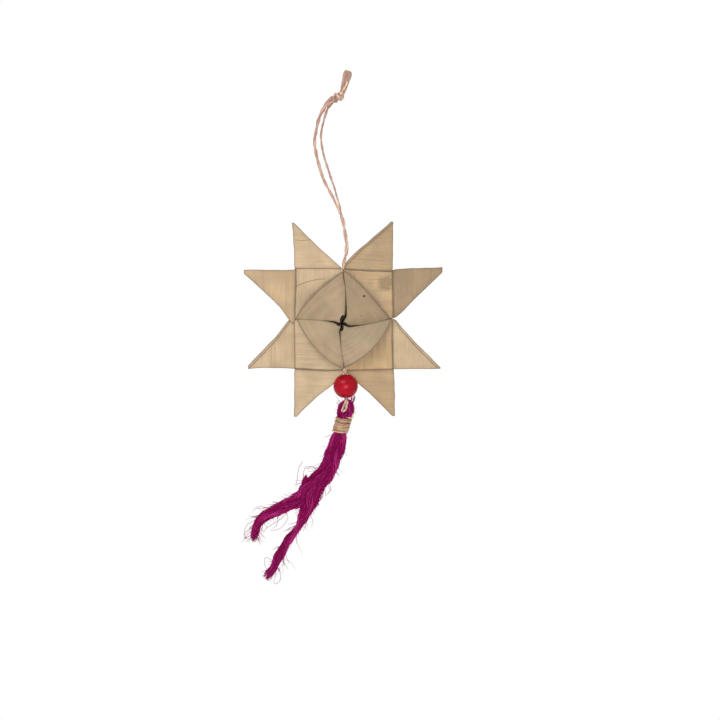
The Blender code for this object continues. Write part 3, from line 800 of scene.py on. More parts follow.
# How far the slit beside each cone closes, in mm, and where it starts to, from the centre.
CLOSINGS = ((0.5, 0.5), (0.48, 4.0), (0.08, 8.0), (0.5, 3.0))
# How far each cone's tip is notched beside its groove, in the same order.
TIP_NOTCHES = (3.1, 1.2, 3.1, 1.8)


def quarter_turns(points, count):
    for _ in range(count):
        points = stacked(-points[..., 1], points[..., 0], points[..., 2])
    return points


def placed(points, count, on_cone=False):
    """Star coordinates, turned by quarter turns, as the handwork left them. The raised cones
    also close their slits, are pressed in, lean, and swing like the blades of a windmill."""
    if on_cone:
        u, v = points[..., 0], points[..., 1]
        most, start = CLOSINGS[count]
        beside_slit = np.exp(-np.clip(u - CONE_CORNER[0], 0, 30) / 2)
        u = u - most * np.clip((-v - start) / 8, 0, 1) * beside_slit
        out, along = (u - v) / math.sqrt(2), (u + v) / math.sqrt(2)
        pressed = np.clip(out / 16, 0, 1) ** 2 * np.clip(1 - (along / 16) ** 2, 0, 1)
        inward = FLATTENED[count] * pressed / math.sqrt(2)
        points = stacked(u - inward, v + inward, points[..., 2])
    points = quarter_turns(points, count)
    flat = as_made(points[..., :2])
    if on_cone:
        rise = np.clip((points[..., 2:] - PLATE_FRONT) / CONE_RISE, 0.0, 1.0)
        distance = np.linalg.norm(flat, axis=-1, keepdims=True)
        bump = np.clip(distance / 3.5, 0, 1) * np.clip(1 - (distance / PITCH) ** 2, 0, 1)
        cosine, sine = np.moveaxis(flat / np.maximum(distance, 1e-6), -1, 0)[..., None]
        swirl = 1.625 + 0.35 * cosine + 0.5 * sine - 0.175 * (cosine**2 - sine**2)
        clockwise = np.concatenate([sine, -cosine], axis=-1)
        flat = flat + CONE_LEAN * rise + clockwise * swirl * bump * np.clip(rise * 4, 0, 1)
    return np.concatenate([flat, points[..., 2:]], axis=-1)


def in_row_frame(points):
    """Star coordinates as places in the frame of the whole object."""
    return STAR_CENTRE + stacked(points[..., 0], -points[..., 2], points[..., 1])


def normals(grid):
    return unit(np.cross(np.gradient(grid, axis=1), np.gradient(grid, axis=0)))


def add_leaf(shape, grid, grain, edge, tone, thickness=0.24, marked=0.0, rims=0.0, inner_face_shade=1.0):
    """A thin leaf from the grid of its outer face, in star coordinates and in its final place.
    Each face and each rim keeps its own points, so its edges stay crisp."""
    rows, columns = grid.shape[:2]
    inner = grid - normals(grid) * thickness
    tone = np.broadcast_to(np.asarray(tone, float), (rows, columns, 2))
    star = grid[..., :2]
    edge = stacked(edge, float(marked))

    def maps(pick, share=1.0):
        near = edge[pick] * np.array([share, 1.0])
        return {"grain": grain[pick], "star": star[pick], "edge": near, "tone": tone[pick]}

    every = slice(None)
    everything = (every, every)
    faces = grid_faces(rows, columns)
    shape.add(in_row_frame(grid), faces, maps(everything))
    # The inner face's tone can be lowered: painted shade where it faces into a hollow.
    under = maps(everything)
    under["tone"] = under["tone"] * np.array([inner_face_shade, 1.0])
    shape.add(in_row_frame(inner), faces[..., ::-1], under)
    for pick, forward in (
        ((0, every), True), ((-1, every), False), ((every, 0), False), ((every, -1), True),
    ):
        rim = np.stack([grid[pick], inner[pick]])
        strip = grid_faces(2, rim.shape[1])
        twice = {key: np.stack([value, value]) for key, value in maps(pick, rims).items()}
        shape.add(in_row_frame(rim), strip[..., ::-1] if forward else strip, twice)


def level(number):
    """The depth of one of the weave's four leaf levels, from 1 in front to 4 behind."""
    return (2.5 - number) * LEVEL_STEP


def band_section():
    """(v, depth) of a strip's leaf round its closed section, and the length to each point."""
    run = PITCH - 1.2

    def straight(start, stop, depth):
        return [(v, depth) for v in np.linspace(start, stop, 17)]

    def fold(sign, depth, first):
        return [
            (sign * (run + LEVEL_STEP * math.sin(a)), depth + first * LEVEL_STEP * math.cos(a))
            for a in np.linspace(0, math.pi, 11)[1:-1]
        ]

    points = straight(0.5, run, level(2)) + fold(1, level(3), 1) + straight(run, 0.5, level(4))
    points += straight(-0.5, -run, level(3)) + fold(-1, level(2), -1)
    points += straight(-run, -0.5, level(1))
    points = np.array(points + points[:1])
    return points, run_along(points)


def waver(place, seed, size):
    """A slow wave of a given size, as in hand-cut and hand-pressed leaf."""
    return size * (
        0.6 * np.sin(place * 0.31 + seed) + 0.4 * np.sin(place * 0.77 + 2.3 * seed + 1.0)
    )


def add_bands(shape, number, tone):
    """A strip's woven middle: two leaves round its closed section."""
    section, lengths = band_section()
    v, depth = section.T[:, :, None]
    lengths = lengths[:, None]
    inner = 0.42 + waver(lengths, number + 0.5, 0.10)
    outer = 23.42 + waver(lengths, number + 2.5, 0.12)
    across = inner + (outer - inner) * np.linspace(0, 1, 22)
    grid = stacked(across, v, depth)
    ripple = waver(across * 0.7 + lengths * 0.8, number * 1.7, 0.05)
    grid = grid + normals(grid) * ripple[..., None]
    grain = stacked(lengths + 90 * number, across + 31 * number)
    edge = np.minimum(across - inner, outer - across)
    # Painted shade at the fold where the strip turns round the end of its section.
    fold = np.clip((np.abs(v) - 23.25) / 0.3, 0, 1)
    tone = np.array(tone) * stacked(1 - 0.33 * fold, np.ones_like(across))
    out = normals(grid)
    for layer, lift in enumerate((0.27, -0.02)):
        face = placed(grid + out * lift, number)
        add_leaf(shape, face, grain, edge + 0.4 * layer, tone, 0.25, marked=1.0 - layer)


def add_point(shape, number, upward, look):
    """A flat point: the strip's end turned and folded into four thin leaves."""
    low, top = 22.6, 2 * PITCH
    lead = -NOTCH_SHIFT if upward > 0 else NOTCH_SHIFT
    slot = look.get("slot", 0.3 if upward > 0 else 0.9)
    side = PITCH - 0.21
    slope = (top - PITCH) / (side - look.get("tip", 0.7) - lead)
    v = low + (top - low) * (np.linspace(0, 1, 34) ** 0.92)
    past = v - PITCH
    bulge = look.get("bulge", 0.0) * np.exp(-(((v - look.get("at", 25.0)) / 5.0) ** 2))
    bow = look.get("bow", 0.0) * np.sin(np.pi * np.clip(past / PITCH, 0, 1))
    for layer in range(4):
        in_front = layer < 2
        inset = look.get("double", 0.0) + 0.10 * layer if in_front else 0.0
        slant = np.maximum(slot, lead + past / slope) + inset * np.clip(past / 3, 0, 1)
        slant = slant + waver(v, 3 * number + upward + 0.4, 0.13) * np.clip(past / 4, 0, 1)
        slant = slant - bulge + bow - np.interp(v, CUT_PLACES, look["slant_cut"])
        edge = side + waver(v, 5 * number + upward + 1.9, 0.10) - 0.05 * layer
        edge = edge + np.interp(v, CUT_PLACES, look["side_cut"])
        if not in_front:
            slant = slant + look.get("blunt", 0.0) * np.clip((v - 40.0) / 8.0, 0, 1)
        slant = np.minimum(slant, edge - 0.35)
        u = slant[:, None] + (edge - slant)[:, None] * np.linspace(0, 1, 22)
        vv = np.broadcast_to(v[:, None], u.shape)
        near = np.minimum((u - slant[:, None]) * 0.72, edge[:, None] - u)
        near = np.minimum(near, (top - vv) * 0.6 + 0.1)
        hinge = np.clip(past / PITCH, 0, 1)[:, None]
        depth = level(2 if upward > 0 else 3) + 0.39 - 0.26 * layer
        depth = depth + look.get("tilt", 0.0) * hinge**1.5
        depth = depth - 0.10 * np.exp(-near / 0.35) * (1 if in_front else -1)
        depth = depth + waver(u * 0.6 + vv * 0.9, number + 2 * upward, 0.06) * hinge
        grid = stacked(u, vv * upward, depth)
        along_leaf = vv + 17 * number + 60 * (upward < 0) + 5 * layer
        grain = stacked(u + 200 + 40 * number, along_leaf)
        # Painted shade where the point turns under the woven middle: a dark line at the fold and a soft
        # shadow beyond it.
        crease_shade = np.exp(-((np.clip(vv - 23.75, 0, 9) / 0.45) ** 2))
        shadow = np.exp(-np.clip(vv - 23.9, 0, 9) / 1.6)
        bright = look["bright"] * (1 - 0.42 * crease_shade - 0.06 * shadow)
        if not in_front or (layer == 0 and "double" not in look):
            bright = bright * 0.985
        tone = stacked(bright, look["warm"])
        if upward < 0:
            grid, grain, near, tone = grid[::-1], grain[::-1], near[::-1], tone[::-1]
        marked = 1.0 if layer == 0 else 0.0
        add_leaf(shape, placed(grid, number), grain, near, tone, marked=marked)


def cone_directions(flat):
    """The direction from a cone's tip for each flat angle of the strip, walls included."""
    half, turn, dip = cone_angles()
    sideways = np.array([1.0, -1.0, 0.0]) / math.sqrt(2)
    down = np.array([0.0, 0.0, -1.0])
    axis = sideways * math.cos(dip) + down * math.sin(dip)
    middle = sideways * math.cos(dip - half) + down * math.sin(dip - half)
    bent = turn * math.sin(half) / 2
    rows = []
    for angle in flat:
        if abs(angle) <= bent:
            a = angle / math.sin(half)
            turned = middle * math.cos(a) + np.cross(axis, middle) * math.sin(a)
            rows.append(turned + axis * axis.dot(middle) * (1 - math.cos(a)))
        else:
            level_way = np.array([1.0, 0, 0]) if angle < 0 else np.array([0, -1.0, 0])
            rows.append(level_way * math.cos(angle) + down * abs(math.sin(angle)))
    rows = np.array(rows)
    soft = rows.copy()
    for _ in range(3):
        soft[1:-1] = (soft[:-2] + soft[1:-1] * 2 + soft[2:]) / 4
    return unit(soft)


def add_cone(shape, number, front, tone):
    """A cone: the strip's two leaves rolled over between their two upright walls."""
    ridge = math.atan(CONE_SLOPE)
    half = np.concatenate([
        np.linspace(0, ridge - 0.12, 20)[:-1], np.linspace(ridge - 0.12, ridge + 0.06, 19)[:-1],
        np.linspace(ridge + 0.06, math.pi / 2, 7),
    ])
    flat = np.concatenate([-half[:0:-1], half])
    ways = cone_directions(flat)
    tip = CONE_CORNER + np.array([0, 0, CONE_RISE])
    sunk = 0.5
    to_edge = CONE_REACH / np.maximum(np.cos(flat), 1e-6)
    to_plate = (CONE_RISE + sunk) / np.maximum(np.abs(np.sin(flat)), 1e-6)
    longest = np.minimum(to_edge, to_plate)
    notched = np.clip((flat - 0.02) / 0.4, 0, 1) * np.clip((1.15 - flat) / 0.4, 0.15, 1)
    opening = 1.0 + (TIP_NOTCHES[number] if front > 0 else 1.2) * notched
    share = (np.linspace(0, 1, 29) ** 1.15)[:, None]
    reach = opening + (longest - opening) * share
    wave = waver(reach * 0.55, number + 3.0 * front, 0.12) * share * np.cos(flat)
    grid = tip + ways * reach[..., None] + stacked(0.0, 0.0, wave)
    grain_u = reach * np.sin(flat) + 400 + 60 * number
    grain = stacked(grain_u, reach * np.cos(flat) + 23 * number + 11 * front)
    foot = np.where(to_edge < to_plate, 0, 5)
    edge = np.minimum((longest - reach) + foot, (reach - opening) * 0.8 + 0.6)

    # Painted shade in the grooves, darkest beside the slit, near the tip and on the walls; a painted
    # highlight on the opening's rim.
    groove = np.clip((ridge + 0.02 - np.abs(flat)) * reach, 0.0, 9.0)
    on_wall = np.clip((np.abs(flat) - ridge) * 14, 0, 1)
    deep = np.where(flat > 0, 0.70, 0.22) * np.clip(1.15 - reach / 17, 0.12, 1)
    shade = 1.0 - deep * np.exp(-((groove / 0.6) ** 2)) - 0.10 * np.exp(-groove / 2.6)
    shade = shade * (1 - (0.22 + 0.45 * np.clip(1.3 - reach / 7, 0, 1)) * on_wall)
    rim_light = np.exp(-(((reach - opening) / 0.5) ** 2)) * np.clip(groove / 0.8, 0, 1)
    shade = shade * (1.0 + 0.5 * rim_light * (1 - on_wall))
    tones = stacked(tone[0] * shade, tone[1])
    if front < 0:
        grid = grid * np.array([1.0, -1.0, -1.0])
    out = normals(grid)
    for layer, drop in enumerate((0.0, 0.30)):
        overhang = 0.55 * layer * share**8 * (np.abs(flat) < ridge)
        face = grid - out * drop + ways * overhang[..., None]
        # The inner leaf's inner face gets painted shade, for the inside of the cone.
        add_leaf(
            shape, placed(face, number, on_cone=front > 0), grain, edge + 0.3 * layer, tones,
            marked=(1.0 - layer) * (front > 0), rims=1.0, inner_face_shade=1.0 - 0.75 * layer,
        )


# How far each point's two edges lie outside a straight cut, in mm, at these distances from
# the star's centre.
CUT_PLACES = (24.0, 25.5, 28.0, 31.0, 34.0, 37.0, 40.0, 43.0, 45.5, 47.0)
# Each point by its strip and the strip's end. bright and warm set its tone, double insets its
# front leaves, tilt lifts its tip, and bulge (at a distance) and bow bend its slanted edge.
# slot is its start beside the notch, tip the width left at the tip and blunt a cut across it.
POINT_LOOKS = {
    (0, 1): {
        "bright": 0.73, "warm": 0.5, "double": 1.6, "tilt": 0.3, "bow": -0.7,
        "slant_cut": (0.0, 0.7, 1.2, 1.2, 1.05, 0.7, 0.65, 0.4, 0.3, 0.3),
        "side_cut": (0.1, 0.3, 0.3, 0.25, 0.05, 0.05, 0.0, 0.0, 0.0, 0.0),
    },
    (0, -1): {
        "bright": 0.81, "warm": 0.55, "tilt": -0.2, "bulge": 0.9, "at": 30.0, "slot": 0.6,
        "slant_cut": (0.0, 0.0, -0.5, -0.8, -0.75, -0.5, -0.25, 0.15, 0.25, 0.4),
        "side_cut": (0.1, 0.25, 0.35, 0.45, 0.45, 0.5, 0.2, 0.1, 0.1, 0.1),
    },
    (1, 1): {
        "bright": 0.88, "warm": 0.35, "tilt": 0.2, "bulge": 1.6, "slot": -0.8, "tip": 1.1,
        "slant_cut": (0.0, 0.8, 0.6, 0.4, 0.7, 0.95, 0.9, 0.95, 1.05, 1.1),
        "side_cut": (-0.35, -0.55, -0.55, -0.5, -0.5, -0.55, -0.4, -0.4, -0.3, -0.35),
    },
    (1, -1): {
        "bright": 0.59, "warm": 0.45, "tip": 1.9, "blunt": 0.9, "tilt": 0.5, "bulge": 0.4,
        "bow": -0.5,
        "slant_cut": (0.0, 0.5, 0.75, 0.5, 0.25, 0.15, 0.2, 0.35, 0.3, 0.3),
        "side_cut": (0.3, 0.7, 0.8, 0.85, 0.85, 0.65, 0.5, 0.2, 0.15, 0.1),
    },
    (2, 1): {
        "bright": 0.95, "warm": 0.0, "tilt": 0.1, "bulge": 1.3, "at": 30.0, "slot": 0.2,
        "slant_cut": (0.0, 0.0, -0.4, -0.8, -0.8, -0.6, -0.35, 0.0, 0.15, 0.45),
        "side_cut": (0.2, 0.4, 0.35, 0.35, 0.3, 0.25, 0.05, -0.1, -0.05, 0.0),
    },
    (2, -1): {
        "bright": 0.99, "warm": 0.0, "tilt": -0.3, "bow": 0.8,
        "slant_cut": (0.0, 0.0, -0.15, -0.2, -0.35, -0.35, -0.2, 0.0, 0.2, 0.1),
        "side_cut": (0.2, 0.45, 0.3, 0.1, -0.1, 0.25, 0.05, -0.1, 0.15, 0.1),
    },
    (3, 1): {
        "bright": 0.95, "warm": 0.0, "double": 1.6, "tilt": 0.2, "bulge": 0.4, "bow": 0.4,
        "slant_cut": (0.0, -0.2, -0.5, -0.4, -0.4, -0.4, -0.35, -0.2, -0.35, -0.4),
        "side_cut": (0.1, 0.1, 0.0, 0.1, 0.15, 0.15, 0.35, 0.3, 0.2, 0.2),
    },
    (3, -1): {
        "bright": 0.92, "warm": 0.0, "double": 1.6, "tilt": -0.2, "bulge": 1.7, "slot": 0.0,
        "bow": -0.5,
        "slant_cut": (0.0, 0.8, 0.8, 0.6, 0.4, 0.5, 0.5, 0.6, 0.55, 0.5),
        "side_cut": (-0.1, -0.2, -0.3, -0.3, -0.35, -0.35, -0.3, -0.2, 0.1, 0.3),
    },
}
# Brightness and warmth of each strip's woven middle and cones.
BAND_TONES = ((0.86, 1.0), (0.83, 0.6), (0.90, 0.0), (0.90, 0.0))
BACK_CONE_TONE = (0.95, 0.1)
CONE_TONES = ((0.82, -0.5), (0.65, 0.1), (0.72, 0.0), (0.77, -0.3))


def add_shaded_middle(shape):
    """A small leaf sheet that closes the middle of the weave, toned almost black: painted shade in the
    hole between the cones' tips.
    """
    u, v = np.meshgrid(np.linspace(-3, 3, 7), np.linspace(-3, 3, 7))
    dark, far = (0.07, 0.0), np.full_like(u, 3.0)
    add_leaf(shape, stacked(u, v, 0.1), stacked(u, v) + 700, far, dark, thickness=0.18)


strips = []
for number in range(4):
    shape = Shape()
    add_bands(shape, number, BAND_TONES[number])
    for upward in (1, -1):
        add_point(shape, number, upward, POINT_LOOKS[number, upward])
    add_cone(shape, number, 1, CONE_TONES[number])
    add_cone(shape, number, -1, BACK_CONE_TONE)
    if number == 0:
        add_shaded_middle(shape)
    strips.append(shape.make(f"folded_leaf_strip_{number + 1}", leaf))


# The tassel


def below_bead(rows):
    """(x, z, radius) rows from the bead's lowest point as (x, y, z, radius) rows."""
    return np.array([(BEAD_FOOT[0] + x, 0.0, BEAD_FOOT[2] + z, r) for x, z, r in rows])


def flowing_fibres(shape, route, count, locks, twist, thickness, seed, flat=0.8, spread=1.0):
    """Crimped fibres in twisted locks along a route of (x, y, z, radius) rows."""
    own = np.random.default_rng(seed)
    spine = smooth_route(route, 1.6)
    points = len(spine)
    centre = spine[:, :3]
    along = unit(np.gradient(centre, axis=0))
    sideways = unit(beside(along))
    lengths = run_along(centre)
    lock = own.integers(0, locks, count)
    lock_way = 2 * np.pi * np.arange(locks) / locks + own.uniform(-0.3, 0.3, locks)
    lock_out = np.where(np.arange(locks) % 3 == 0, 0.45, 0.68)[lock][:, None]
    lock_turn = own.uniform(0.75, 1.3, locks) * twist
    lock_twist = own.uniform(0.7, 1.4, locks) * own.choice([-1, 1], locks) * 0.16
    way = own.uniform(0, 2 * np.pi, count)[:, None]
    out = np.sqrt(own.uniform(0.1, 1.0, count))[:, None] * 0.40
    swing = lock_way[lock][:, None] + lock_turn[lock][:, None] * lengths
    spin = way + lock_twist[lock][:, None] * lengths
    a = lock_out * np.cos(swing) + out * np.cos(spin)
    b = lock_out * np.sin(swing) + out * np.sin(spin)
    radius = spine[:, 3] * spread
    crimp = np.zeros((2, count, points))
    for wave, size in ((7.5, 0.18), (4.2, 0.10), (15.0, 0.36)):
        for k in range(2):
            phase = own.uniform(0, 2 * np.pi, (count, 1))
            rate = 2 * np.pi / (wave * own.uniform(0.8, 1.25, (count, 1)))
            crimp[k] += size * np.sin(lengths * rate + phase)
    settle = np.clip(lengths / 8.0, 0.15, 1.0)
    paths = (
        centre
        + sideways * (a * radius + crimp[0] * settle)[..., None]
        + np.array([0.0, 1.0, 0.0]) * ((b * radius) * flat + crimp[1] * settle)[..., None]
    )
    finish = 1.0 - np.abs(own.normal(0.0, 0.04, count)).clip(0, 0.2)
    short = own.random(count) < 0.12
    finish = np.where(short, own.uniform(0.45, 0.95, count), finish)
    wanted = np.linspace(0, 1, points)[None] * finish[:, None] * (points - 1)
    low = np.minimum(wanted.astype(int), points - 2)
    share = (wanted - low)[..., None]
    picked = np.arange(count)[:, None]
    paths = paths[picked, low] * (1 - share) + paths[picked, low + 1] * share
    taper = np.clip((1.02 - np.linspace(0, 1, points)) * 9, 0.25, 1.0)
    # Tones vary at random and from lock to lock; fibres near a lock's middle are darker, as painted
    # shade.
    tone = 0.46 + 0.17 * own.normal(size=count) + 0.17 * np.sin(lock * 2.1)
    tone = np.clip(tone + 0.8 * (out[:, 0] - 0.27), 0.02, 1.0)
    add_tubes(shape, paths, thickness * taper[None], 3, tone)


def shifted(rows, amount):
    """A route moved sideways by a share of its radius, and made narrower to suit."""
    rows = below_bead(rows)
    along = unit(np.gradient(rows[:, :3], axis=0))
    sideways = beside(along)
    fade = np.clip((np.arange(len(rows)) - 1) / 2, 0, 1)[:, None]
    rows[:, :3] += sideways * rows[:, 3:] * amount * fade
    rows[:, 3] *= 1 - 0.42 * fade[:, 0]
    return rows


CORE_SIDES = 32


def add_core(shape, route, share, flat):
    """The dense middle of the bundle, toned darkest: painted shade between the locks."""
    spine = smooth_route(route, 1.6)
    path = spine[:, :3]
    along = unit(np.gradient(path, axis=0))
    way = np.linspace(0, 2 * np.pi, CORE_SIDES + 1)[:-1]
    places = np.arange(len(path))
    ends = np.clip(np.minimum(places, places[::-1]) / 2.0, 0.05, 1)
    ridges = 1 + 0.12 * np.cos(way * 7 + 0.35 * places[:, None])
    radius = (spine[:, 3] * share * ends)[:, None] * ridges
    ring = path[:, None] + beside(along)[:, None] * (np.cos(way) * radius)[..., None]
    ring[..., 1] += np.sin(way) * radius * flat
    maps = {
        "fibre": stacked(places[:, None] * 1.2, np.abs(way - np.pi) * 6),
        "tone": stacked(0.12, places[:, None] / places[-1] + 0.0 * way),
    }
    shape.add(ring, grid_faces(len(path), CORE_SIDES, closed=True), maps)


def add_strays(shape, lines, thickness, tone=0.45):
    """Loose single fibres along given lines of (x, y, z) points."""
    for points in lines:
        path = smooth_route(points, 0.6)
        count = len(path)
        noise = rng.normal(size=3)
        steps = np.arange(count)[:, None]
        path = path + 0.12 * np.sin(steps * np.array([0.9, 0.7, 1.1]) + noise * 3)
        taper = np.clip((count - np.arange(count)) / 6, 0.3, 1.0)
        add_tubes(shape, path[None], (thickness * taper)[None], 3, [tone + 0.1 * noise[0]])


def add_loose(shape, route, count, length, thickness, seed, curl=0.35, away=0.7):
    """Fibres that leave the bundle and curl away from it."""
    own = np.random.default_rng(seed)
    spine = smooth_route(route, 0.9)
    along = unit(np.gradient(spine[:, :3], axis=0))
    at = own.integers(4, len(spine) - 3, count)
    way = own.uniform(0, 2 * np.pi, count)
    outward = beside(along[at]) * np.cos(way)[:, None]
    outward[:, 1] += np.sin(way)
    start = spine[at, :3] + outward * spine[at, 3:] * away
    share = np.linspace(0, 1, 14)[None, :, None]
    size = (own.gamma(2.2, 0.45, count).clip(0.25, 2.4) * length)[:, None, None]
    drift = outward * own.uniform(0.3, 1.0, (count, 1))
    drift = unit(drift + along[at] * own.uniform(0.4, 1.3, (count, 1)))
    bend = unit(own.normal(size=(count, 3)))[:, None]
    second = unit(own.normal(size=(count, 3)))[:, None]
    paths = start[:, None] + drift[:, None] * share * size
    paths += bend * share**1.6 * size * curl * own.uniform(0.3, 1.2, (count, 1, 1))
    paths += second * np.sin(share * own.uniform(4, 9, (count, 1, 1))) * size * 0.07
    paths[..., 2] -= (share[..., 0] ** 2) * size[..., 0] * 0.15
    taper = np.linspace(1.0, 0.45, 14)[None]
    add_tubes(shape, paths, thickness * taper, 3, own.uniform(0.3, 0.75, count))


def from_picture(points):
    """Picture places of loose ends as points, with a depth given in millimetres."""
    column, row = EYE_PIXEL
    return [((x - column) * PIXEL, depth, -(y - row) * PIXEL) for x, y, depth in points]


LEFT_STRAYS = (
    ((303, 461, -2), (299, 468, -3), (297.5, 478, -4), (295.7, 489, -3)),
    ((304, 474, -2), (303, 479, -3), (302, 484, -3)),
    ((308, 481, -1), (304, 476, -3), (304, 470, -4), (309, 466, -4)),
    ((318, 472, -2), (313, 466, -4), (309, 467, -5), (309, 471, -5)),
    ((262, 518, -1), (250, 522, -3), (245, 530, -4), (247, 541, -3)),
    ((258, 524, 0), (249, 529, -2), (244, 536, -2), (252, 539, -3)),
    ((290, 506, -1), (284, 516, -3), (272, 524, -4), (262, 531, -4)),
    ((284, 509, -1), (288, 518, -3), (280, 528, -3), (270, 530, -2)),
    ((276, 512, -1), (278, 522, -2), (272, 530, -3)),
    ((270, 510, 0), (262, 506, -2), (256, 508, -3), (252, 513, -3)),
)
RIGHT_STRAYS = (
    ((329, 481, -2), (331, 487, -4), (329, 492, -4), (325, 496, -3)),
    ((327, 483, -1), (330, 489, -3), (328, 494, -3)),
    ((276, 566, -2), (281, 572, -3), (280, 580, -4), (275, 583, -3), (273, 577, -2)),
    ((272, 560, 0), (266, 557, -2), (265, 563, -3), (268, 570, -3)),
    ((283, 545, -1), (278, 549, -3), (277, 556, -4)),
    ((291, 532, -1), (297, 537, -3), (296, 545, -3)),
)
# Loose fibres: the route's rows, how many, length, thickness, seed, curl and start.
LEFT_LOOSE = (
    (slice(None), 300, 2.3, 0.15, 22, 0.35, 0.95), (slice(2, 9), 150, 2.6, 0.10, 24, 0.9, 0.9),
    (slice(3, None), 80, 3.6, 0.085, 23, 0.8, 0.7),
)
RIGHT_LOOSE = (
    (slice(None), 260, 2.1, 0.15, 32, 0.35, 0.95), (slice(3, None), 60, 3.2, 0.085, 33, 0.8, 0.7),
)
# Tufts that stand out from the tails: how many fibres, thickness, seed and route.
LEFT_TUFTS = (
    (44, 0.12, 51, ((-18.9, -46.4, 1.4), (-19.9, -43.2, 1.4), (-20.2, -40.6, 1.0), (-19.2, -37.3, 0.3))),
    (36, 0.11, 55, ((-20.0, -46.0, 1.0), (-22.6, -45.7, 1.0), (-24.8, -46.7, 0.8), (-27.0, -48.8, 0.4))),
)
RIGHT_TUFTS = (
    (40, 0.11, 54, ((-10.4, -42.0, 1.0), (-11.9, -45.6, 1.1), (-13.3, -49.3, 1.0), (-15.3, -53.0, 0.4))),
    (30, 0.11, 56, ((-20.0, -51.0, 1.1), (-21.6, -54.2, 1.0), (-22.2, -57.4, 0.5))),
)


def make_tail(name, side, route, fibres, twist, seed, loose, tufts, strays):
    """One tail with its half of the skirt: fibres round a core, loose ones, tufts and strays."""
    route = np.vstack([shifted(SKIRT_ROUTE, side), below_bead(route)])
    shape = Shape()
    add_core(shape, route, 0.5, 0.75)
    flowing_fibres(shape, route, fibres, 5, twist, 0.18, seed, spread=1.06)
    for rows, count, length, thickness, seed, curl, away in loose:
        add_loose(shape, route[rows], count, length, thickness, seed, curl, away)
    for count, thickness, seed, tuft in tufts:
        flowing_fibres(shape, below_bead(tuft), count, 3, 0.25, thickness, seed, spread=1.1)
    add_strays(shape, [from_picture(line) for line in strays], 0.11, 0.6)
    return shape.make(name, dyed)


left_tail = make_tail(
    "tassel_left_tail", 0.40, LEFT_TAIL_ROUTE, 280, 0.11, 21, LEFT_LOOSE, LEFT_TUFTS, LEFT_STRAYS,
)
right_tail = make_tail(
    "tassel_right_tail", -0.40, RIGHT_TAIL_ROUTE, 270, -0.13, 31, RIGHT_LOOSE, RIGHT_TUFTS,
    RIGHT_STRAYS,
)


HEAD_STRAYS = (
    ((351, 403, -1), (353, 400, -1), (354, 397, -1), (352.5, 395, 0)),
    ((352, 404, 0), (354.6, 401, -1), (354.4, 398, 0)),
    ((350, 402, 1), (352, 399, 1), (353.6, 397, 2)),
    ((341, 403, -1), (339, 400.5, -1), (338.6, 398.6, -1)),
    ((340, 405, 0), (337, 403, -1), (338, 400, -1)),
    ((339, 410, -1), (335.5, 409.4, -1), (333.8, 408.8, -1)),
    ((339, 412, 0), (336, 412.5, -1), (335, 411, -1)),
    ((339, 416, -2), (336.5, 417, -2), (334.8, 418.6, -2), (336, 420, -3)),
    ((340, 417, -2), (337, 418.5, -3), (335.6, 417.4, -3)),
    ((353, 411, 0), (355.5, 412, -1), (355, 415, -1)),
)


def make_head():
    """The folded head: a ring of fibre round the cord, and the neck under the binding."""
    shape = Shape()
    route = below_bead(HEAD_ROUTE)
    flowing_fibres(shape, route, 340, 5, 0.2, 0.15, 41, flat=0.95)
    add_core(shape, route, 0.5, 0.9)
    add_loose(shape, route[2:11], 200, 1.5, 0.11, 42, curl=0.9, away=0.8)
    add_strays(shape, [from_picture(line) for line in HEAD_STRAYS], 0.13)
    behind = below_bead(HEAD_BEHIND)
    behind[:, 1] += 1.3
    flowing_fibres(shape, behind, 110, 3, 0.3, 0.14, 44, flat=0.5, spread=1.15)
    tuft = below_bead(HEAD_TUFT)
    tuft[:, 1] -= 0.6
    flowing_fibres(shape, tuft, 18, 3, 0.2, 0.085, 45, flat=0.6, spread=1.3)
    neck = below_bead(NECK_ROUTE)
    add_core(shape, neck, 0.95, 0.95)
    flowing_fibres(shape, neck, 150, 5, 0.05, 0.14, 43, flat=0.95)
    return shape.make("tassel_head", dyed)


head = make_head()


POINTS_A_TURN = 40


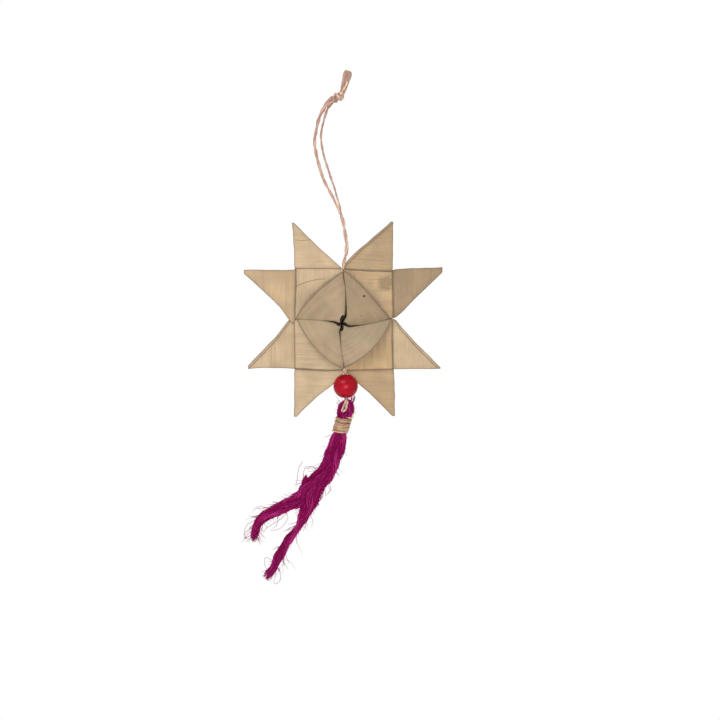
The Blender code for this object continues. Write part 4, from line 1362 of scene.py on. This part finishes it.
def make_binding():
    """Fine twine wound round the neck, its turns uneven and crossing, with a loose end."""
    shape = Shape()
    top = BEAD_FOOT + np.array([BINDING_TOP[0] + 0.1, 0.0, BINDING_TOP[1]])
    foot = BEAD_FOOT + np.array([BINDING_FOOT[0] - 0.1, 0.0, BINDING_FOOT[1] - 0.7])
    axis = unit(top - foot)
    sideways = beside(axis)

    def wound(turns, start, low, high, lift, seed, tone, width):
        share = np.linspace(0, 1, int(turns * POINTS_A_TURN))
        angle = start + 2 * np.pi * turns * share
        radius = NECK_RADIUS + 0.38 + lift
        radius = radius + 0.08 * np.sin(angle * 0.37 + seed) + 0.05 * np.sin(angle * 1.3)
        height = low + (high - low) * share + 0.018 * np.sin(angle * 0.61 + seed)
        sag = 0.6 * np.cos(angle) + np.sin(angle) + 0.16 * np.sin(angle * 0.5 + seed) - 0.25
        path = foot + (top - foot) * height[:, None] + axis * sag[:, None]
        path += sideways * (np.cos(angle) * radius * 1.04)[:, None]
        path[:, 1] += np.sin(angle) * radius * 0.96
        add_twisted(shape, path, pitch=3.8, width=width, tone=tone, yarns=3, sides=5)
        return path

    # The layers of turns are toned darker the deeper they lie: painted shade under the turns above them.
    under = wound(9.4, 0.0, 0.04, 0.98, 0.45, 0.0, 0.20, 1.02)
    over = wound(7.3, 1.3, 0.97, 0.08, 0.82, 1.7, 0.48, 0.74)
    wound(3.2, 2.2, 0.10, 0.62, 0.92, 3.1, 0.86, 0.52)
    x, z = BEAD_FOOT[0], BEAD_FOOT[2]
    end = [(x + 2.5, -2.1, z - 9.6), (x + 3.5, -1.7, z - 8.4), (x + 4.0, -1.3, z - 7.4)]
    end = smooth_route([under[-1], *end], 0.3)
    add_twisted(shape, end, pitch=3.0, width=0.9, tone=0.85, yarns=4)
    add_fuzz(shape, over, 120, 0.35, 1.3, 0.04, 0.5, 0.95)
    return shape.make("twine_binding", straw)


binding = make_binding()


# What each piece rides on and stands for


for piece, nodes, slot in (
    (left_cord, ["hanging_cord_left"], "natural_twine"),
    (right_cord, ["hanging_cord_right"], "natural_twine"),
    (bead_cord, ["bead_cord"], "natural_twine"),
    (knot, ["cord_knot"], "natural_twine"),
    (bead, ["bead"], "red_paint"),
    (head, ["tassel"], "dyed_fibre"),
    (left_tail, ["tassel"], "dyed_fibre"),
    (right_tail, ["tassel"], "dyed_fibre"),
    (binding, ["tassel_binding"], "natural_twine"),
    *((strip, [f"leaf_strip_{i + 1}"], "palm_leaf") for i, strip in enumerate(strips)),
):
    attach(piece, "root")
    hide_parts(*nodes)

for cord, path in ((left_cord, left_path), (right_cord, right_path)):
    route_length(path)
route_length(bead_path)


# Stage and light, in metres


FLOOR = ((-0.6, -0.9, -0.335), (0.6, -0.9, -0.335), (0.6, 0.15, -0.335), (-0.6, 0.15, -0.335))
mesh = bpy.data.meshes.new("studio_floor")
mesh.from_pydata(FLOOR, [], [(0, 1, 2, 3)])
mesh.materials.append(stage_material())
floor = bpy.data.objects.new("studio_floor", mesh)
bpy.context.scene.collection.objects.link(floor)

# The room gives a little less light than the white ground that is seen.
world = bpy.data.worlds.new("studio")
world.use_nodes = True
tree = world.node_tree
room = tree.nodes["Background"]
seen, light_path, chosen = (
    tree.nodes.new(kind)
    for kind in ("ShaderNodeBackground", "ShaderNodeLightPath", "ShaderNodeMixShader")
)
for background, strength in ((room, 0.72), (seen, 1.0)):
    background.inputs["Color"].default_value = (1.0, 1.0, 1.0, 1.0)
    background.inputs["Strength"].default_value = strength
for output, socket in (
    (light_path.outputs["Is Camera Ray"], chosen.inputs[0]), (room.outputs[0], chosen.inputs[1]),
    (seen.outputs[0], chosen.inputs[2]),
    (chosen.outputs[0], tree.nodes["World Output"].inputs["Surface"]),
):
    tree.links.new(output, socket)
bpy.context.scene.world = world


def add_area(name, place, aim, size, power):
    data = bpy.data.lights.new(name, "AREA")
    data.shape = "DISK"
    data.size = size
    data.energy = power
    light = bpy.data.objects.new(name, data)
    light.location = place
    light.rotation_euler = (Vector(aim) - Vector(place)).to_track_quat("-Z", "Y").to_euler()
    bpy.context.scene.collection.objects.link(light)


LIGHT_AIM = (0.01, 0.0, -0.12)
add_area("soft_key", (0.08, -1.25, -0.38), LIGHT_AIM, 0.5, 11.0)
add_area("soft_back", (0.25, 1.3, 0.75), LIGHT_AIM, 0.6, 7.0)
add_area("soft_top", (-0.35, -0.7, 0.55), LIGHT_AIM, 0.5, 3.0)

bpy.context.scene.view_settings.view_transform = "Standard"
bpy.context.scene.view_settings.look = "None"
